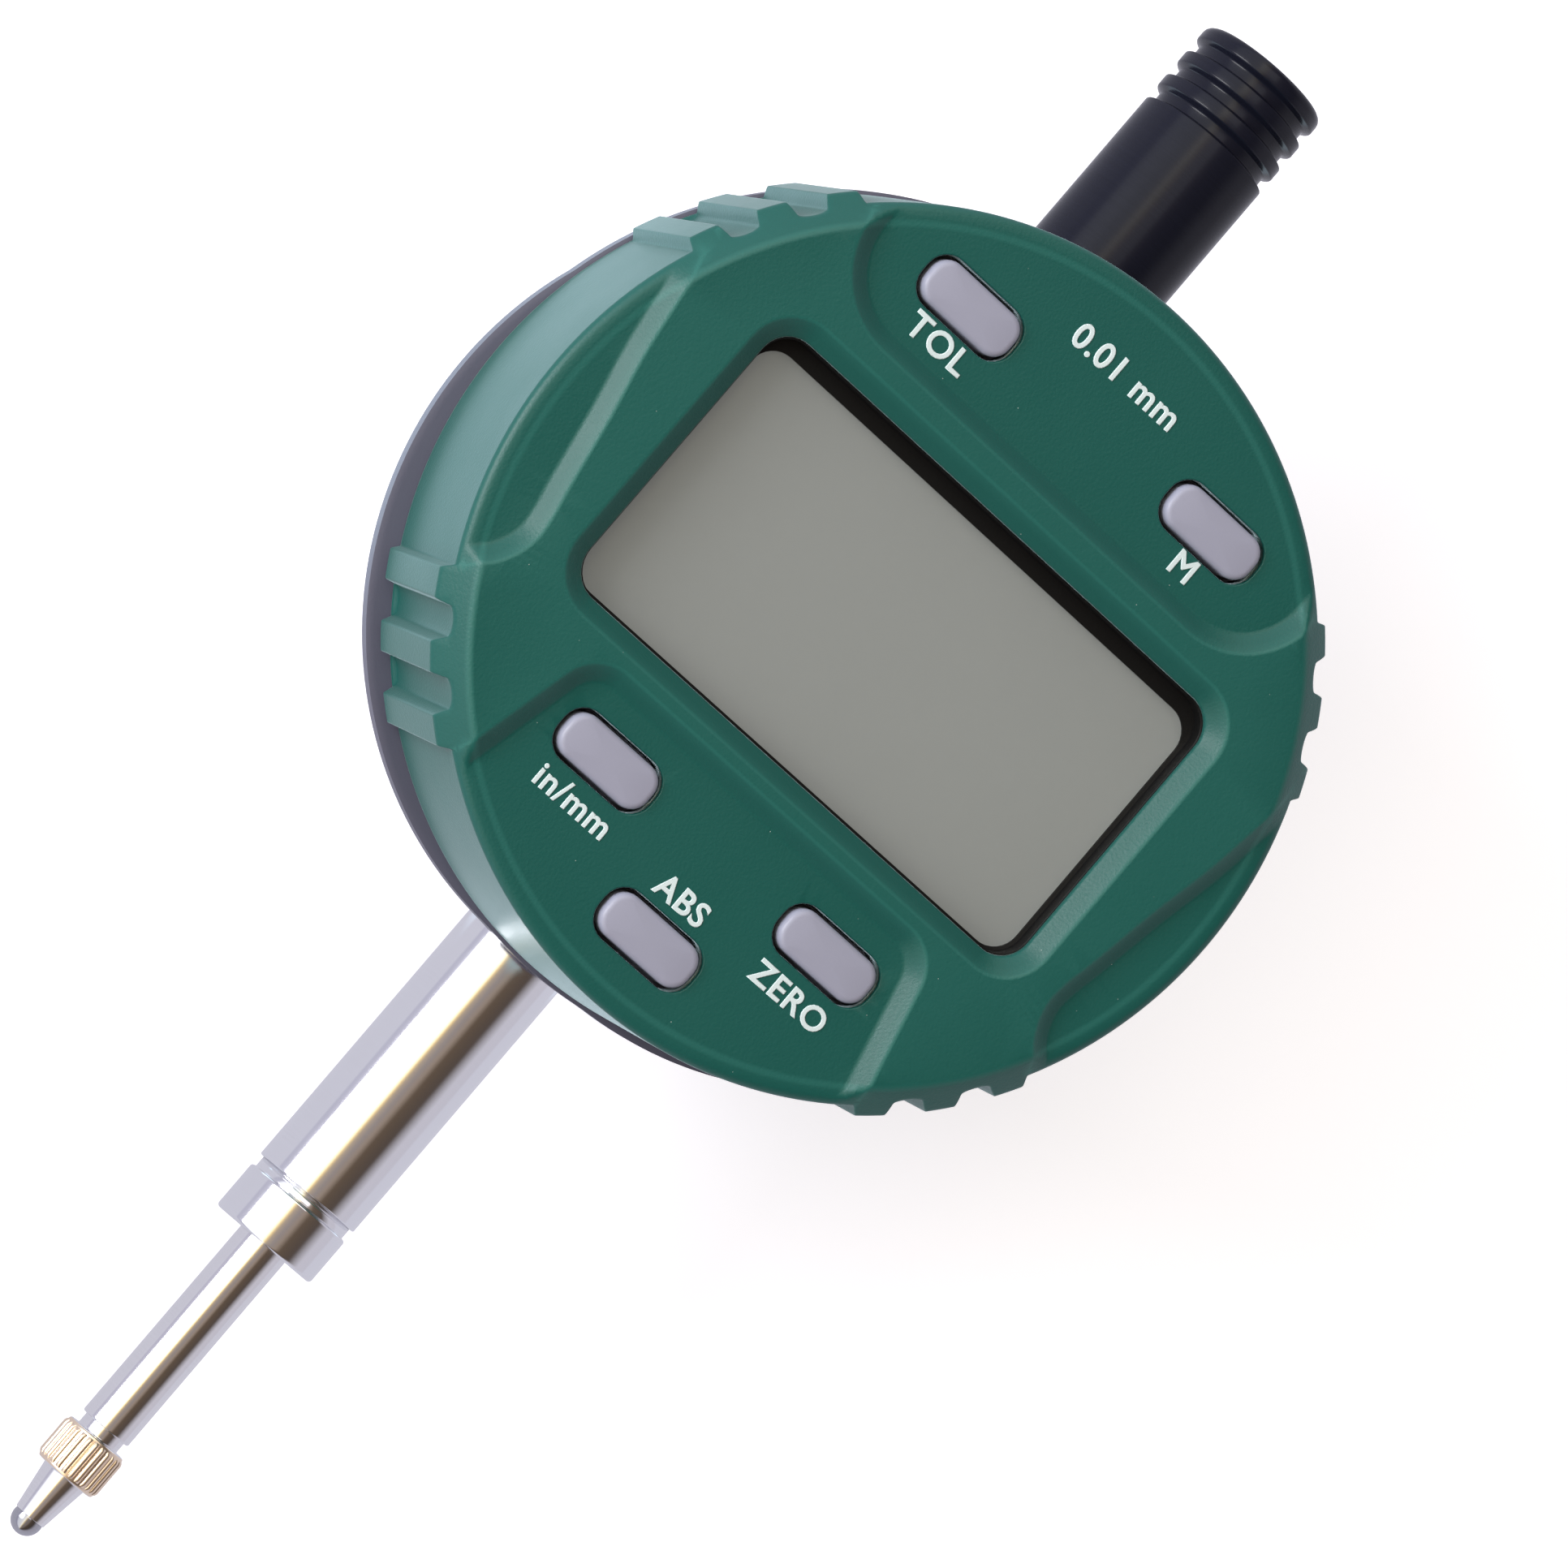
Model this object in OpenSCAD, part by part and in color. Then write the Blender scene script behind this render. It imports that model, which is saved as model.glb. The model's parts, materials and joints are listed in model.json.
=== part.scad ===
// Electronic plunger indicator: round case with a display and five buttons, a clamping stem below
// and a dust cap above. The plunger runs along Z, the face looks along -Y, and the origin is on the
// plunger's axis at the lower end of the stem.

/* [Case] */
// Height of the case's centre above the lower end of the stem
case_z = 53.8; // [50:0.1:70]
// Radius of the front housing at its rim
case_r = 28.8; // [28.4:0.1:36]
// Wall of the front housing
case_wall = 1.8; // [1.2:0.1:2.4]
// Distance of the face in front of the plunger's axis
face_front = 24.5; // [22:0.1:30]
// Chamfer round the face
rim_chamfer = 1.3; // [0.5:0.1:2]
// Distance of the seam between front housing and rear body in front of the axis
seam_front = 6.9; // [6.8:0.1:7.4]
// Thickness of the front wall under its recessed panels
front_wall = 2; // [1.5:0.1:2.5]
// Depth of the recessed panels
panel_depth = 0.9; // [0.4:0.1:1.2]

/* [Grips] */
// Width of one grip lobe
lobe_w = 1.95; // [1.2:0.05:2.6]
// How far a lobe stands out from the rim
lobe_out = 0.75; // [0.3:0.05:1.2]
// Angle between two lobes
lobe_pitch = 9.1; // [7:0.1:12]
// Angle of the upper grips above the horizontal
grip_up = 33.4; // [28:0.1:40]
// Angle of the lower grips below the horizontal
grip_down = 40.7; // [34:0.1:46]

/* [Display] */
// Gap between the display opening and the rim, at each side
window_side = 9.45; // [9:0.05:12]
// Top edge of the display opening above the case's centre
window_top = 11.25; // [9:0.05:11.6]
// Bottom edge of the display opening below the case's centre
window_bottom = 9.85; // [8:0.05:10.2]
// Corner radius of the display opening
window_corner = 2.2; // [1:0.1:4]
// Depth of the window lens below the face
lens_depth = 3; // [2.6:0.1:3.4]
// Thickness of the window lens
lens_t = 0.6; // [0.4:0.1:1]
// Thickness of the display glass
lcd_t = 1.8; // [1.2:0.1:2.2]

/* [Buttons] */
// Width of a button
button_w = 7.3; // [5:0.1:8]
// Height of a button
button_h = 3.2; // [2.5:0.1:3.6]
// Gap round a button
button_gap = 0.3; // [0.2:0.05:0.4]
// How far a button stands out of its panel
button_out = 0.6; // [0.5:0.05:1]
// Travel of a button
button_travel = 0.5; // [0.3:0.05:0.5]
// Half the distance between the two upper buttons
upper_x = 10.85; // [9:0.05:11.5]
// Gap between the upper buttons' centres and the rim
upper_edge = 8.9; // [8.5:0.05:9.2]
// Half the distance between the two lower buttons
lower_x = 9.6; // [9:0.05:10.5]
// Height of the two lower buttons below the case's centre
lower_z = 16.85; // [16.6:0.05:17]
// Gap between the lowest button's centre and the rim
lowest_edge = 5.2; // [5:0.05:5.4]

/* [Rear body] */
// Radius of the rear body's drum
drum_r = 25.4; // [24.6:0.1:26.4]
// Wall of the drum
drum_wall = 1.6; // [1.2:0.1:2]
// Radius of the rear body's flange
flange_r = 29.1; // [29:0.1:36]
// Distance of the flange's back face in front of the axis
flange_back = 5.2; // [5.2:0.1:5.4]
// Radius of the two wide rounds of the flange behind the lower grips
ear_r = 26.8; // [26:0.1:27.2]
// How far those rounds are set out from the centre
ear_shift = 3.6; // [2.4:0.1:3.6]
// Distance of the drum's rear end behind the axis
drum_rear = 9; // [8.8:0.1:12]
// Thickness of the back cover
cover_t = 1.8; // [1.4:0.1:2.5]
// Thickness of the back cover's seal
seal_t = 0.4; // [0.2:0.1:0.8]
// Radius of the circle of back cover screws
cover_screw_r = 21.9; // [21.4:0.1:22.2]

/* [Lug] */
// Radius of the lug's hole
lug_hole_r = 3.25; // [2.5:0.05:4]
// Thickness of the lug's blade
lug_t = 6.4; // [4:0.1:8]
// Radius of the lug's round end
lug_end_r = 6.5; // [6:0.1:8]
// Distance from the back cover to the lug's hole
lug_reach = 7.6; // [7:0.1:12]
// Height of the lug above the case's centre
lug_up = 9.4; // [9.2:0.1:10]

/* [Plunger] */
// Radius of the stem
stem_r = 4; // [3.9:0.05:4.8]
// Length of the nose ring at the stem's lower end
nose_len = 3.6; // [3:0.1:5]
// Width of the groove above the nose ring
neck_len = 0.8; // [0.4:0.1:1.2]
// Radius in the groove above the nose ring
neck_r = 3.7; // [3.5:0.05:3.8]
// Radius of the plunger
plunger_r = 1.9; // [1.6:0.05:2]
// Travel of the plunger
travel = 12.7; // [5:0.1:12.7]
// Length of the plunger that shows below the stem at rest
plunger_out = 15.8; // [14:0.1:25]
// Radial clearance of the plunger in its bushes
running = 0.05; // [0.02:0.01:0.1]

/* [Contact point] */
// Length of the neck above the contact point's ring
point_neck_len = 0.8; // [0.4:0.1:1.5]
// Radius of that neck
point_neck_r = 1.6; // [1.4:0.05:1.8]
// Length of the fluted ring
ring_len = 3.3; // [2:0.1:5]
// Radius of the fluted ring
ring_r = 2.42; // [2.1:0.02:3.5]
// Length of the cone down to the ball's centre
cone_len = 3.7; // [2.5:0.1:6]
// Radius at the top of the cone
cone_r = 1.65; // [1.4:0.05:2]
// Radius of the contact ball
ball_r = 1.1; // [0.8:0.05:1.2]

/* [Dust cap] */
// Radius of the dust cap
cap_r = 4.95; // [4.6:0.05:5.1]
// Height of the dust cap above its seat
cap_len = 22.9; // [22.7:0.1:30]
// Wall of the dust cap
cap_wall = 1.3; // [1:0.05:1.4]
// Distance between two grooves
groove_pitch = 2.05; // [1.8:0.05:2.5]
// Depth of a groove
groove_depth = 0.5; // [0.2:0.05:0.7]

/* [Hidden] */
$fn = 96;
eps = 0.01;
fine = 32;

face_r = case_r - rim_chamfer;
lobe_r = case_r + lobe_out;
lobe_count = 3;
lobe_start = 0.7;
inner_r = case_r - case_wall;
panel_front = face_front - panel_depth;
ceiling = panel_front - front_wall;
band_t = front_wall + panel_depth;

window_w = 2 * (case_r - window_side);
window_h = window_top + window_bottom;
window_mid = (window_top - window_bottom) / 2;
lens_front = face_front - lens_depth;
lens_fit = 0.15;
frame_wall = 0.9;
frame_fit = 0.2;
frame_front = face_front - 1.3;
frame_lip = 0.35;
frame_lip_top = 1.6;
frame_ledge = 1.1;
glass_front = lens_front - lens_t;
board_t = 1.2;
board_front = ceiling - 4.4;
board_r = inner_r - 0.8;
zebra_t = 1.8;

upper_step = 14.6;
upper_half = 19.4;
upper_corner = 4.4;
lower_step = 12.6;
lower_half = 14.9;
lower_slope = 0.245;
panel_reach = 40;

ear_down = 34;
partition_t = seam_front - flange_back;
drum_in = drum_r - drum_wall;
boss_half = 6.2;
boss_rear = 5.2;
boss_len = 9.4;
rail_x = 7.8;
rail_r = 1;
rail_seat = 3;
boss_right = rail_x + 2.6;
drum_bottom = case_z - drum_r;
drum_top = case_z + drum_r;
boss_low_top = drum_bottom + boss_len;
boss_high_bottom = drum_top - boss_len;
cap_pad_h = 0.4;
cap_seat = drum_top + cap_pad_h;
stem_seat = drum_bottom - cap_pad_h;
cover_front = -drum_rear - seal_t;
cover_back = cover_front - cover_t;
post_r = 2.1;
pilot_r = 0.8;
screw_head_r = 1.75;
screw_head_h = 1.1;
flange_screw_r = (drum_r + flange_r) / 2 - 0.35;
flange_screw_angles = [66, 114, 246, 294];
flange_boss_r = 1.7;

lug_base_w = 14;
lug_base_h = 20;
lug_base_t = 1.8;
lug_screw_y = 8.1;
lug_screw_head_r = 1.6;

battery_r = 10;
battery_t = 3.2;
battery_down = 12.2;
battery_gap = 0.3;
hatch_r = battery_r + 0.9;
hatch_gap = 0.1;
hatch_seal_t = 0.2;
hatch_front = cover_back + cover_t / 2;
hatch_slot_w = 1.4;
battery_back = hatch_front + 0.2;
battery_front = battery_back + battery_t;
contact_t = 0.3;
holder_t = 0.8;
holder_back = battery_front + contact_t + 0.2;
holder_wall = 1;
contact_pin_r = 0.35;
contact_pin_at = battery_r + 1.9;
contact_angles = [25, -17];
contact_hole_r = 0.7;

stem_top = drum_bottom + 7.5;
spigot_r = stem_r - 0.3;
bush_r = stem_r - 1;
nose_thread_r = stem_r - 0.7;
nose_thread_len = 4;
stem_bottom = nose_len + neck_len;
wiper_top = 2;
plunger_fit = plunger_r + running;
plunger_bottom = -plunger_out;
nipple_r = cap_r - cap_wall - running;
nipple_top = cap_seat + 4.6;
nipple_bore = plunger_r + 0.6;
plunger_top = nipple_top + 2;
cap_roof = 1.4;

ring_top = plunger_bottom - point_neck_len;
ring_bottom = ring_top - ring_len;
ball_z = ring_bottom - cone_len;
point_thread_r = 1.2;
point_thread_len = 4.5;

bumper_t = 1;
upper_bush_top = boss_high_bottom + 5;
carrier_bottom = boss_low_top + bumper_t;
carrier_h = 6;
carrier_rear = 3.2;
carrier_front = 2.6;
scale_left = -13;
scale_right = -7;
scale_len = 18;
scale_t = 0.8;
plate_t = 1.2;
scale_front = carrier_front + scale_t;
reader_gap = 0.5;
reader_x = (scale_left + scale_right) / 2;
reader_w = 9;
reader_h = 20;
reader_screw_y = 7.2;
reader_screw_r = 0.5;
cable_w = 4;
cable_t = 0.3;
cable_hole_r = cable_w / 2 + 0.4;
spring_wire_r = 0.25;
spring_mean_r = plunger_r + 0.75 + spring_wire_r;
washer_t = 0.5;
spring_low = carrier_bottom + carrier_h + washer_t + 0.02;
spring_high = boss_high_bottom - 0.02;
spring_turns = 9;
spring_sides = 6;
spring_steps = 14;

dome_r = 2;
dome_h = 0.4;
button_flange = 0.7;
button_flange_t = 0.8;
plunger_pad_r = 1.2;
button_rear = board_front + dome_h + button_travel + 0.1;
button_corner = 1.3;
// Places of the five buttons on the face: two upper, two lower and the lowest
button_places = [
    [-upper_x, case_r - upper_edge], [upper_x, case_r - upper_edge],
    [-lower_x, -lower_z], [lower_x, -lower_z], [0, -(case_r - lowest_edge)]
];
// Places of the four board posts, against the wall of the front housing
board_posts = [for (a = [44, 136, 222, 318]) [(inner_r - 2) * cos(a), (inner_r - 2) * sin(a)]];

// Local frame of the face: x to the right, y up, z towards the viewer
module on_face() {
    translate([0, 0, case_z]) rotate([90, 0, 0]) children();
}

module rounded_rect(w, h, r) {
    square([w - 2 * r, h], center = true);
    square([w, h - 2 * r], center = true);
    for (sx = [-1, 1], sy = [-1, 1])
        translate([sx * (w / 2 - r), sy * (h / 2 - r)]) circle(r = r, $fn = fine);
}

module tube(z0, z1, r_out, r_in) {
    difference() {
        translate([0, 0, z0]) cylinder(r = r_out, h = z1 - z0);
        translate([0, 0, z0 - 1]) cylinder(r = r_in, h = z1 - z0 + 2);
    }
}

// A screw whose head's top is at z = 0 and whose shank runs down to -len
module screw(head_r, head_h, shank_r, len) {
    slot_w = head_r * 0.28;
    difference() {
        union() {
            translate([0, 0, -head_h]) cylinder(r1 = shank_r, r2 = head_r, h = head_h, $fn = fine);
            translate([0, 0, -len]) cylinder(r = shank_r, h = len - head_h + eps, $fn = fine);
        }
        for (turn = [0, 90])
            rotate([0, 0, turn]) translate([-head_r * 0.6, -slot_w / 2, -head_h * 0.55])
                cube([head_r * 1.2, slot_w, head_h]);
    }
}

module screw_sink(head_r, head_h, shank_r, len) {
    translate([0, 0, -head_h]) cylinder(r1 = shank_r, r2 = head_r, h = head_h, $fn = fine);
    translate([0, 0, -len]) cylinder(r = shank_r, h = len, $fn = fine);
    cylinder(r = head_r, h = 2, $fn = fine);
}

module upright_screw(head_r, head_h, shank_r, len) {
    slot_w = head_r * 0.3;
    difference() {
        union() {
            translate([0, 0, -head_h]) cylinder(r = head_r, h = head_h, $fn = fine);
            translate([0, 0, -len]) cylinder(r = shank_r, h = len - head_h + eps, $fn = fine);
        }
        translate([-head_r * 0.7, -slot_w / 2, -head_h * 0.5]) cube([head_r * 1.4, slot_w, head_h]);
    }
}

function grip_angles() = [
    for (side = [grip_up, 180 - grip_up, 180 + grip_down, -grip_down])
        for (k = [0:lobe_count - 1]) side + (k - (lobe_count - 1) / 2) * lobe_pitch
];

module lobes() {
    corner = 0.45;
    for (a = grip_angles())
        rotate([0, 0, a]) translate([case_r - 1, -lobe_w / 2]) {
            square([lobe_out + 1 - corner, lobe_w]);
            translate([0, corner]) square([lobe_out + 1, lobe_w - 2 * corner]);
            for (y = [corner, lobe_w - corner])
                translate([lobe_out + 1 - corner, y]) circle(r = corner, $fn = fine);
        }
}

module upper_panel() {
    intersection() {
        circle(r = face_r);
        translate([0, upper_step + panel_reach / 2])
            rounded_rect(2 * upper_half, panel_reach, upper_corner);
    }
}

module lower_panel() {
    flare = lower_half + lower_slope * panel_reach;
    intersection() {
        circle(r = face_r);
        polygon([
            [-lower_half, -lower_step], [lower_half, -lower_step],
            [flare, -lower_step - panel_reach], [-flare, -lower_step - panel_reach]
        ]);
    }
}

// Leaf-shaped scallop between the display band and the rim, on the right
module scallop() {
    edge = face_r - 27.5;
    intersection() {
        circle(r = face_r);
        translate([edge, 0])
            polygon([
                [26.3, 9], [25.3, 5], [24.3, 0], [23.5, -5], [23.1, -8], [23.4, -10], [24.8, -11.8],
                [32, -11.8], [32, 9]
            ]);
    }
}

module button_outline(grow) {
    rounded_rect(button_w + 2 * grow, button_h + 2 * grow, button_corner + grow);
}

module front_housing() {
    lobe_rim = face_front - (lobe_r - face_r);
    color("#20624f") on_face() {
        difference() {
            intersection() {
                translate([0, 0, seam_front]) linear_extrude(face_front - seam_front) {
                    circle(r = case_r);
                    lobes();
                }
                union() {
                    translate([0, 0, seam_front + lobe_start])
                        cylinder(r = lobe_r + 1, h = lobe_rim - seam_front - lobe_start - 1);
                    translate([0, 0, seam_front - eps]) cylinder(r = case_r + eps, h = lobe_start + 1);
                    translate([0, 0, lobe_rim - 1])
                        cylinder(r1 = lobe_r + 1, r2 = face_r, h = face_front - lobe_rim + 1);
                }
            }
            difference() {
                translate([0, 0, seam_front - 1]) cylinder(r = inner_r, h = ceiling - seam_front + 1);
                for (p = board_posts)
                    translate([p[0], p[1], board_front]) cylinder(r = post_r, h = 20, $fn = fine);
                for (a = flange_screw_angles)
                    rotate([0, 0, a]) translate([flange_screw_r, 0, seam_front])
                        cylinder(r = flange_boss_r, h = 6, $fn = fine);
            }
            translate([0, window_mid, ceiling - 1])
                linear_extrude(band_t + 3) rounded_rect(window_w, window_h, window_corner);
            translate([0, window_mid, ceiling - 1]) linear_extrude(frame_front - ceiling + 1)
                rounded_rect(window_w + 2 * frame_wall, window_h + 2 * frame_wall,
                    window_corner + frame_wall);
            translate([0, 0, panel_front]) linear_extrude(2) upper_panel();
            translate([0, 0, panel_front]) linear_extrude(2) lower_panel();
            translate([0, 0, panel_front]) linear_extrude(2) scallop();
            mirror([1, 0, 0]) translate([0, 0, panel_front]) linear_extrude(2) scallop();
            for (p = button_places)
                translate([p[0], p[1], ceiling - 1]) linear_extrude(front_wall + 3)
                    button_outline(button_gap);
            for (p = board_posts)
                translate([p[0], p[1], board_front - 1]) cylinder(r = pilot_r, h = 4, $fn = fine);
            for (a = flange_screw_angles)
                rotate([0, 0, a]) translate([flange_screw_r, 0, seam_front - 1])
                    cylinder(r = pilot_r, h = 6, $fn = fine);
        }
    }
}

module rear_body() {
    color("#b3abb6") difference() {
        union() {
            on_face() {
                difference() {
                    union() {
                        translate([0, 0, flange_back]) linear_extrude(partition_t) {
                            circle(r = flange_r);
                            for (a = [-ear_down, 180 + ear_down])
                                rotate(a) translate([ear_shift, 0]) circle(r = ear_r);
                        }
                        translate([0, 0, -drum_rear]) cylinder(r = drum_r, h = flange_back + drum_rear + eps);
                    }
                    difference() {
                        translate([0, 0, -drum_rear - 1])
                            cylinder(r = drum_in, h = drum_rear + flange_back + 1);
                        for (a = [45, 135, 225, 315])
                            rotate([0, 0, a]) translate([cover_screw_r, 0, -drum_rear])
                                cylinder(r = post_r, h = drum_rear + flange_back, $fn = fine);
                    }
                    for (a = [45, 135, 225, 315])
                        rotate([0, 0, a]) translate([cover_screw_r, 0, -drum_rear - 1])
                            cylinder(r = pilot_r, h = 8, $fn = fine);
                    for (a = flange_screw_angles)
                        rotate([0, 0, a]) translate([flange_screw_r, 0, flange_back]) mirror([0, 0, 1])
                            screw_sink(screw_head_r - 0.35, screw_head_h, pilot_r, 4);
                    for (a = contact_angles)
                        translate([0, -battery_down, 0]) rotate([0, 0, a])
                            translate([contact_pin_at, 0, flange_back - 1])
                                cylinder(r = contact_hole_r, h = partition_t + 2, $fn = fine);
                    translate([reader_x, 0, flange_back - 1])
                        cylinder(r = cable_hole_r, h = partition_t + 2, $fn = fine);
                    for (y = [-1, 1])
                        translate([reader_x, y * reader_screw_y, flange_back - 1])
                            cylinder(r = reader_screw_r, h = partition_t + 0.6, $fn = fine);
                }
            }
            intersection() {
                on_face() translate([0, 0, -drum_rear]) cylinder(r = drum_r - 0.4, h = flange_back + drum_rear);
                union() {
                    translate([-boss_half, -flange_back, drum_bottom])
                        cube([boss_half + boss_right, flange_back + boss_rear, boss_len]);
                    translate([-boss_half, -flange_back, boss_high_bottom])
                        cube([boss_half + boss_right, flange_back + boss_rear, boss_len]);
                }
            }
            translate([0, 0, drum_top - 2]) cylinder(r = cap_r, h = 2 + cap_pad_h);
            translate([0, 0, stem_seat]) cylinder(r = stem_r + 0.6, h = 2 + cap_pad_h);
        }
        translate([0, 0, stem_seat - 1]) cylinder(r = spigot_r, h = stem_top - stem_seat + 1);
        translate([0, 0, stem_top - eps]) cylinder(r = nipple_bore, h = boss_low_top - stem_top + 1);
        translate([0, 0, upper_bush_top]) cylinder(r = nipple_r, h = cap_seat);
        translate([0, 0, boss_high_bottom - 1]) cylinder(r = bush_r, h = upper_bush_top - boss_high_bottom + 1 + eps);
        translate([rail_x, 0, boss_low_top - rail_seat])
            cylinder(r = rail_r, h = boss_high_bottom - boss_low_top + 2 * rail_seat, $fn = fine);
    }
}
module housing_screws() {
    color("silver") on_face()
        for (a = flange_screw_angles)
            rotate([0, 0, a]) translate([flange_screw_r, 0, flange_back + 0.05]) mirror([0, 0, 1])
                screw(screw_head_r - 0.4, screw_head_h - 0.05, pilot_r - 0.02, 6);
}

module back_cover() {
    color("#b3abb6") on_face() difference() {
        translate([0, 0, cover_back]) cylinder(r = drum_r, h = cover_t);
        for (a = [45, 135, 225, 315])
            rotate([0, 0, a]) translate([cover_screw_r, 0, cover_back]) mirror([0, 0, 1])
                screw_sink(screw_head_r, screw_head_h, pilot_r + 0.2, 6);
        translate([0, -battery_down, cover_back - 1]) cylinder(r = battery_r + battery_gap, h = cover_t + 2);
        translate([0, -battery_down, cover_back - 1]) cylinder(r = hatch_r + hatch_gap, h = 1 + cover_t / 2);
        for (s = [-1, 1])
            translate([0, lug_up + s * lug_screw_y, cover_back - 1])
                cylinder(r = pilot_r, h = cover_t + 2, $fn = fine);
    }
}

module back_seal() {
    color("#222222") on_face() difference() {
        translate([0, 0, cover_front]) cylinder(r = drum_r - 0.1, h = seal_t);
        translate([0, 0, cover_front - 1]) cylinder(r = drum_in + 0.2, h = seal_t + 2);
    }
}

module back_cover_screws() {
    color("silver") on_face()
        for (a = [45, 135, 225, 315])
            rotate([0, 0, a]) translate([cover_screw_r, 0, cover_back + 0.05]) mirror([0, 0, 1])
                screw(screw_head_r - 0.05, screw_head_h - 0.05, pilot_r - 0.02, 6.5);
}

module lug_back() {
    hole_back = cover_back - lug_reach;
    color("#b3abb6") on_face() translate([0, lug_up, 0]) difference() {
        union() {
            translate([0, 0, cover_back - lug_base_t]) linear_extrude(lug_base_t)
                rounded_rect(lug_base_w, lug_base_h, 3);
            rotate([0, 90, 0]) translate([-hole_back, 0, -lug_t / 2]) linear_extrude(lug_t) {
                circle(r = lug_end_r);
                translate([-lug_reach + eps, -lug_end_r]) square([lug_reach - eps, 2 * lug_end_r]);
            }
        }
        translate([-lug_t, 0, hole_back]) rotate([0, 90, 0]) cylinder(r = lug_hole_r, h = 2 * lug_t);
        for (s = [-1, 1])
            translate([0, s * lug_screw_y, cover_back - lug_base_t]) mirror([0, 0, 1])
                screw_sink(lug_screw_head_r, 1, pilot_r, 4);
    }
}

module lug_screws() {
    color("silver") on_face()
        for (s = [-1, 1])
            translate([0, lug_up + s * lug_screw_y, cover_back - lug_base_t + 0.05]) mirror([0, 0, 1])
                screw(lug_screw_head_r - 0.05, 0.95, pilot_r - 0.02, 3.4);
}

module battery_cover() {
    color("#b3abb6") on_face() translate([0, -battery_down, 0]) difference() {
        translate([0, 0, cover_back]) cylinder(r = hatch_r, h = cover_t / 2 - hatch_seal_t);
        translate([-4.5, -hatch_slot_w / 2, cover_back - 1]) cube([9, hatch_slot_w, 1.4]);
    }
}

module battery_cover_seal() {
    color("#222222") on_face() translate([0, -battery_down, 0])
        tube(hatch_front - hatch_seal_t, hatch_front, hatch_r, battery_r + battery_gap);
}

module battery() {
    rim = 0.8;
    step = 0.25;
    color("silver") on_face() translate([0, -battery_down, battery_back]) {
        cylinder(r = battery_r, h = battery_t - step);
        translate([0, 0, battery_t - step - eps]) cylinder(r = battery_r - rim, h = step + eps);
    }
}

module at_contact(a) {
    on_face() translate([0, -battery_down, 0]) rotate([0, 0, a]) children();
}

module battery_holder() {
    ring_in = battery_r + battery_gap;
    color("#2b2b2b") difference() {
        on_face() translate([0, -battery_down, 0]) difference() {
            translate([0, 0, cover_front])
                cylinder(r = ring_in + holder_wall, h = holder_back + holder_t - cover_front);
            translate([0, 0, cover_front - 1]) cylinder(r = ring_in, h = holder_back - cover_front + 1);
            translate([0, 0, holder_back - 1]) cylinder(r = 4, h = holder_t + 2);
        }
        for (a = contact_angles)
            at_contact(a) translate([battery_r - 1, -2.2, cover_front - 1])
                cube([4, 4.4, holder_back - cover_front + 0.9]);
    }
}

// Pin from a battery contact forward to the main board
module contact_pin(from) {
    translate([contact_pin_at, 0, from])
        cylinder(r = contact_pin_r, h = board_front - board_t - from, $fn = fine);
}

module battery_contact_negative() {
    color("gold") at_contact(contact_angles[0]) {
        translate([2, -1.5, battery_front]) cube([contact_pin_at - 1.4, 3, contact_t]);
        contact_pin(battery_front);
    }
}

module battery_contact_positive() {
    tab_h = 1.6;
    color("gold") at_contact(contact_angles[1]) {
        translate([battery_r, -1.5, battery_front - tab_h - 0.4]) cube([contact_t, 3, tab_h]);
        translate([battery_r, -1.5, battery_front - contact_t - 0.4])
            cube([contact_pin_at - battery_r + 0.6, 3, contact_t]);
        contact_pin(battery_front - contact_t - 0.4);
    }
}

module window_blank(w_off, z0, t) {
    on_face() translate([0, window_mid, z0]) linear_extrude(t)
        rounded_rect(window_w - w_off, window_h - w_off, window_corner);
}

module window_lens() {
    color("#e8efe8") window_blank(2 * lens_fit - 0.2, lens_front - lens_t, lens_t);
}

module display_glass() {
    color("#8c8e86") window_blank(2 * lens_fit - 0.2, glass_front - lcd_t, lcd_t);
}

module display_frame() {
    pocket = 0.2;
    lip_t = 0.3;
    lip_w = window_w - 2 * frame_lip;
    lip_h = window_h - frame_lip - frame_lip_top;
    color("#151515") on_face() translate([0, window_mid, 0]) difference() {
        translate([0, 0, board_front]) linear_extrude(frame_front - board_front)
            rounded_rect(window_w + 2 * (frame_wall - frame_fit), window_h + 2 * (frame_wall - frame_fit),
                window_corner + frame_wall - frame_fit);
        translate([0, 0, lens_front + lip_t]) linear_extrude(3)
            rounded_rect(window_w, window_h, window_corner);
        translate([0, 0, board_front - 1]) linear_extrude(lens_front - board_front + 1)
            rounded_rect(window_w + pocket, window_h + pocket, window_corner);
        translate([0, (frame_lip - frame_lip_top) / 2, lens_front - 1]) linear_extrude(3)
            rounded_rect(lip_w, lip_h, window_corner - frame_lip);
    }
}

module zebra_strips() {
    zebra_h = glass_front - lcd_t - board_front;
    color("#3a3a3a") on_face()
        for (s = [-1, 1])
            translate([-window_w / 2 + 2, window_mid + s * (window_h / 2 - zebra_t / 2 - 0.5) - zebra_t / 2,
                    board_front])
                cube([window_w - 4, zebra_t, zebra_h]);
}

module main_board() {
    color("#1d5b33") on_face() difference() {
        translate([0, 0, board_front - board_t]) cylinder(r = board_r, h = board_t);
        for (p = board_posts)
            translate([p[0], p[1], board_front - board_t - 1])
                cylinder(r = pilot_r + 0.1, h = board_t + 2, $fn = fine);
    }
}

module board_screws() {
    head_h = 0.9;
    color("silver") on_face()
        for (p = board_posts)
            translate([p[0], p[1], board_front - board_t - head_h]) mirror([0, 0, 1])
                upright_screw(1.5, head_h, pilot_r - 0.02, 4.6);
}

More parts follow.
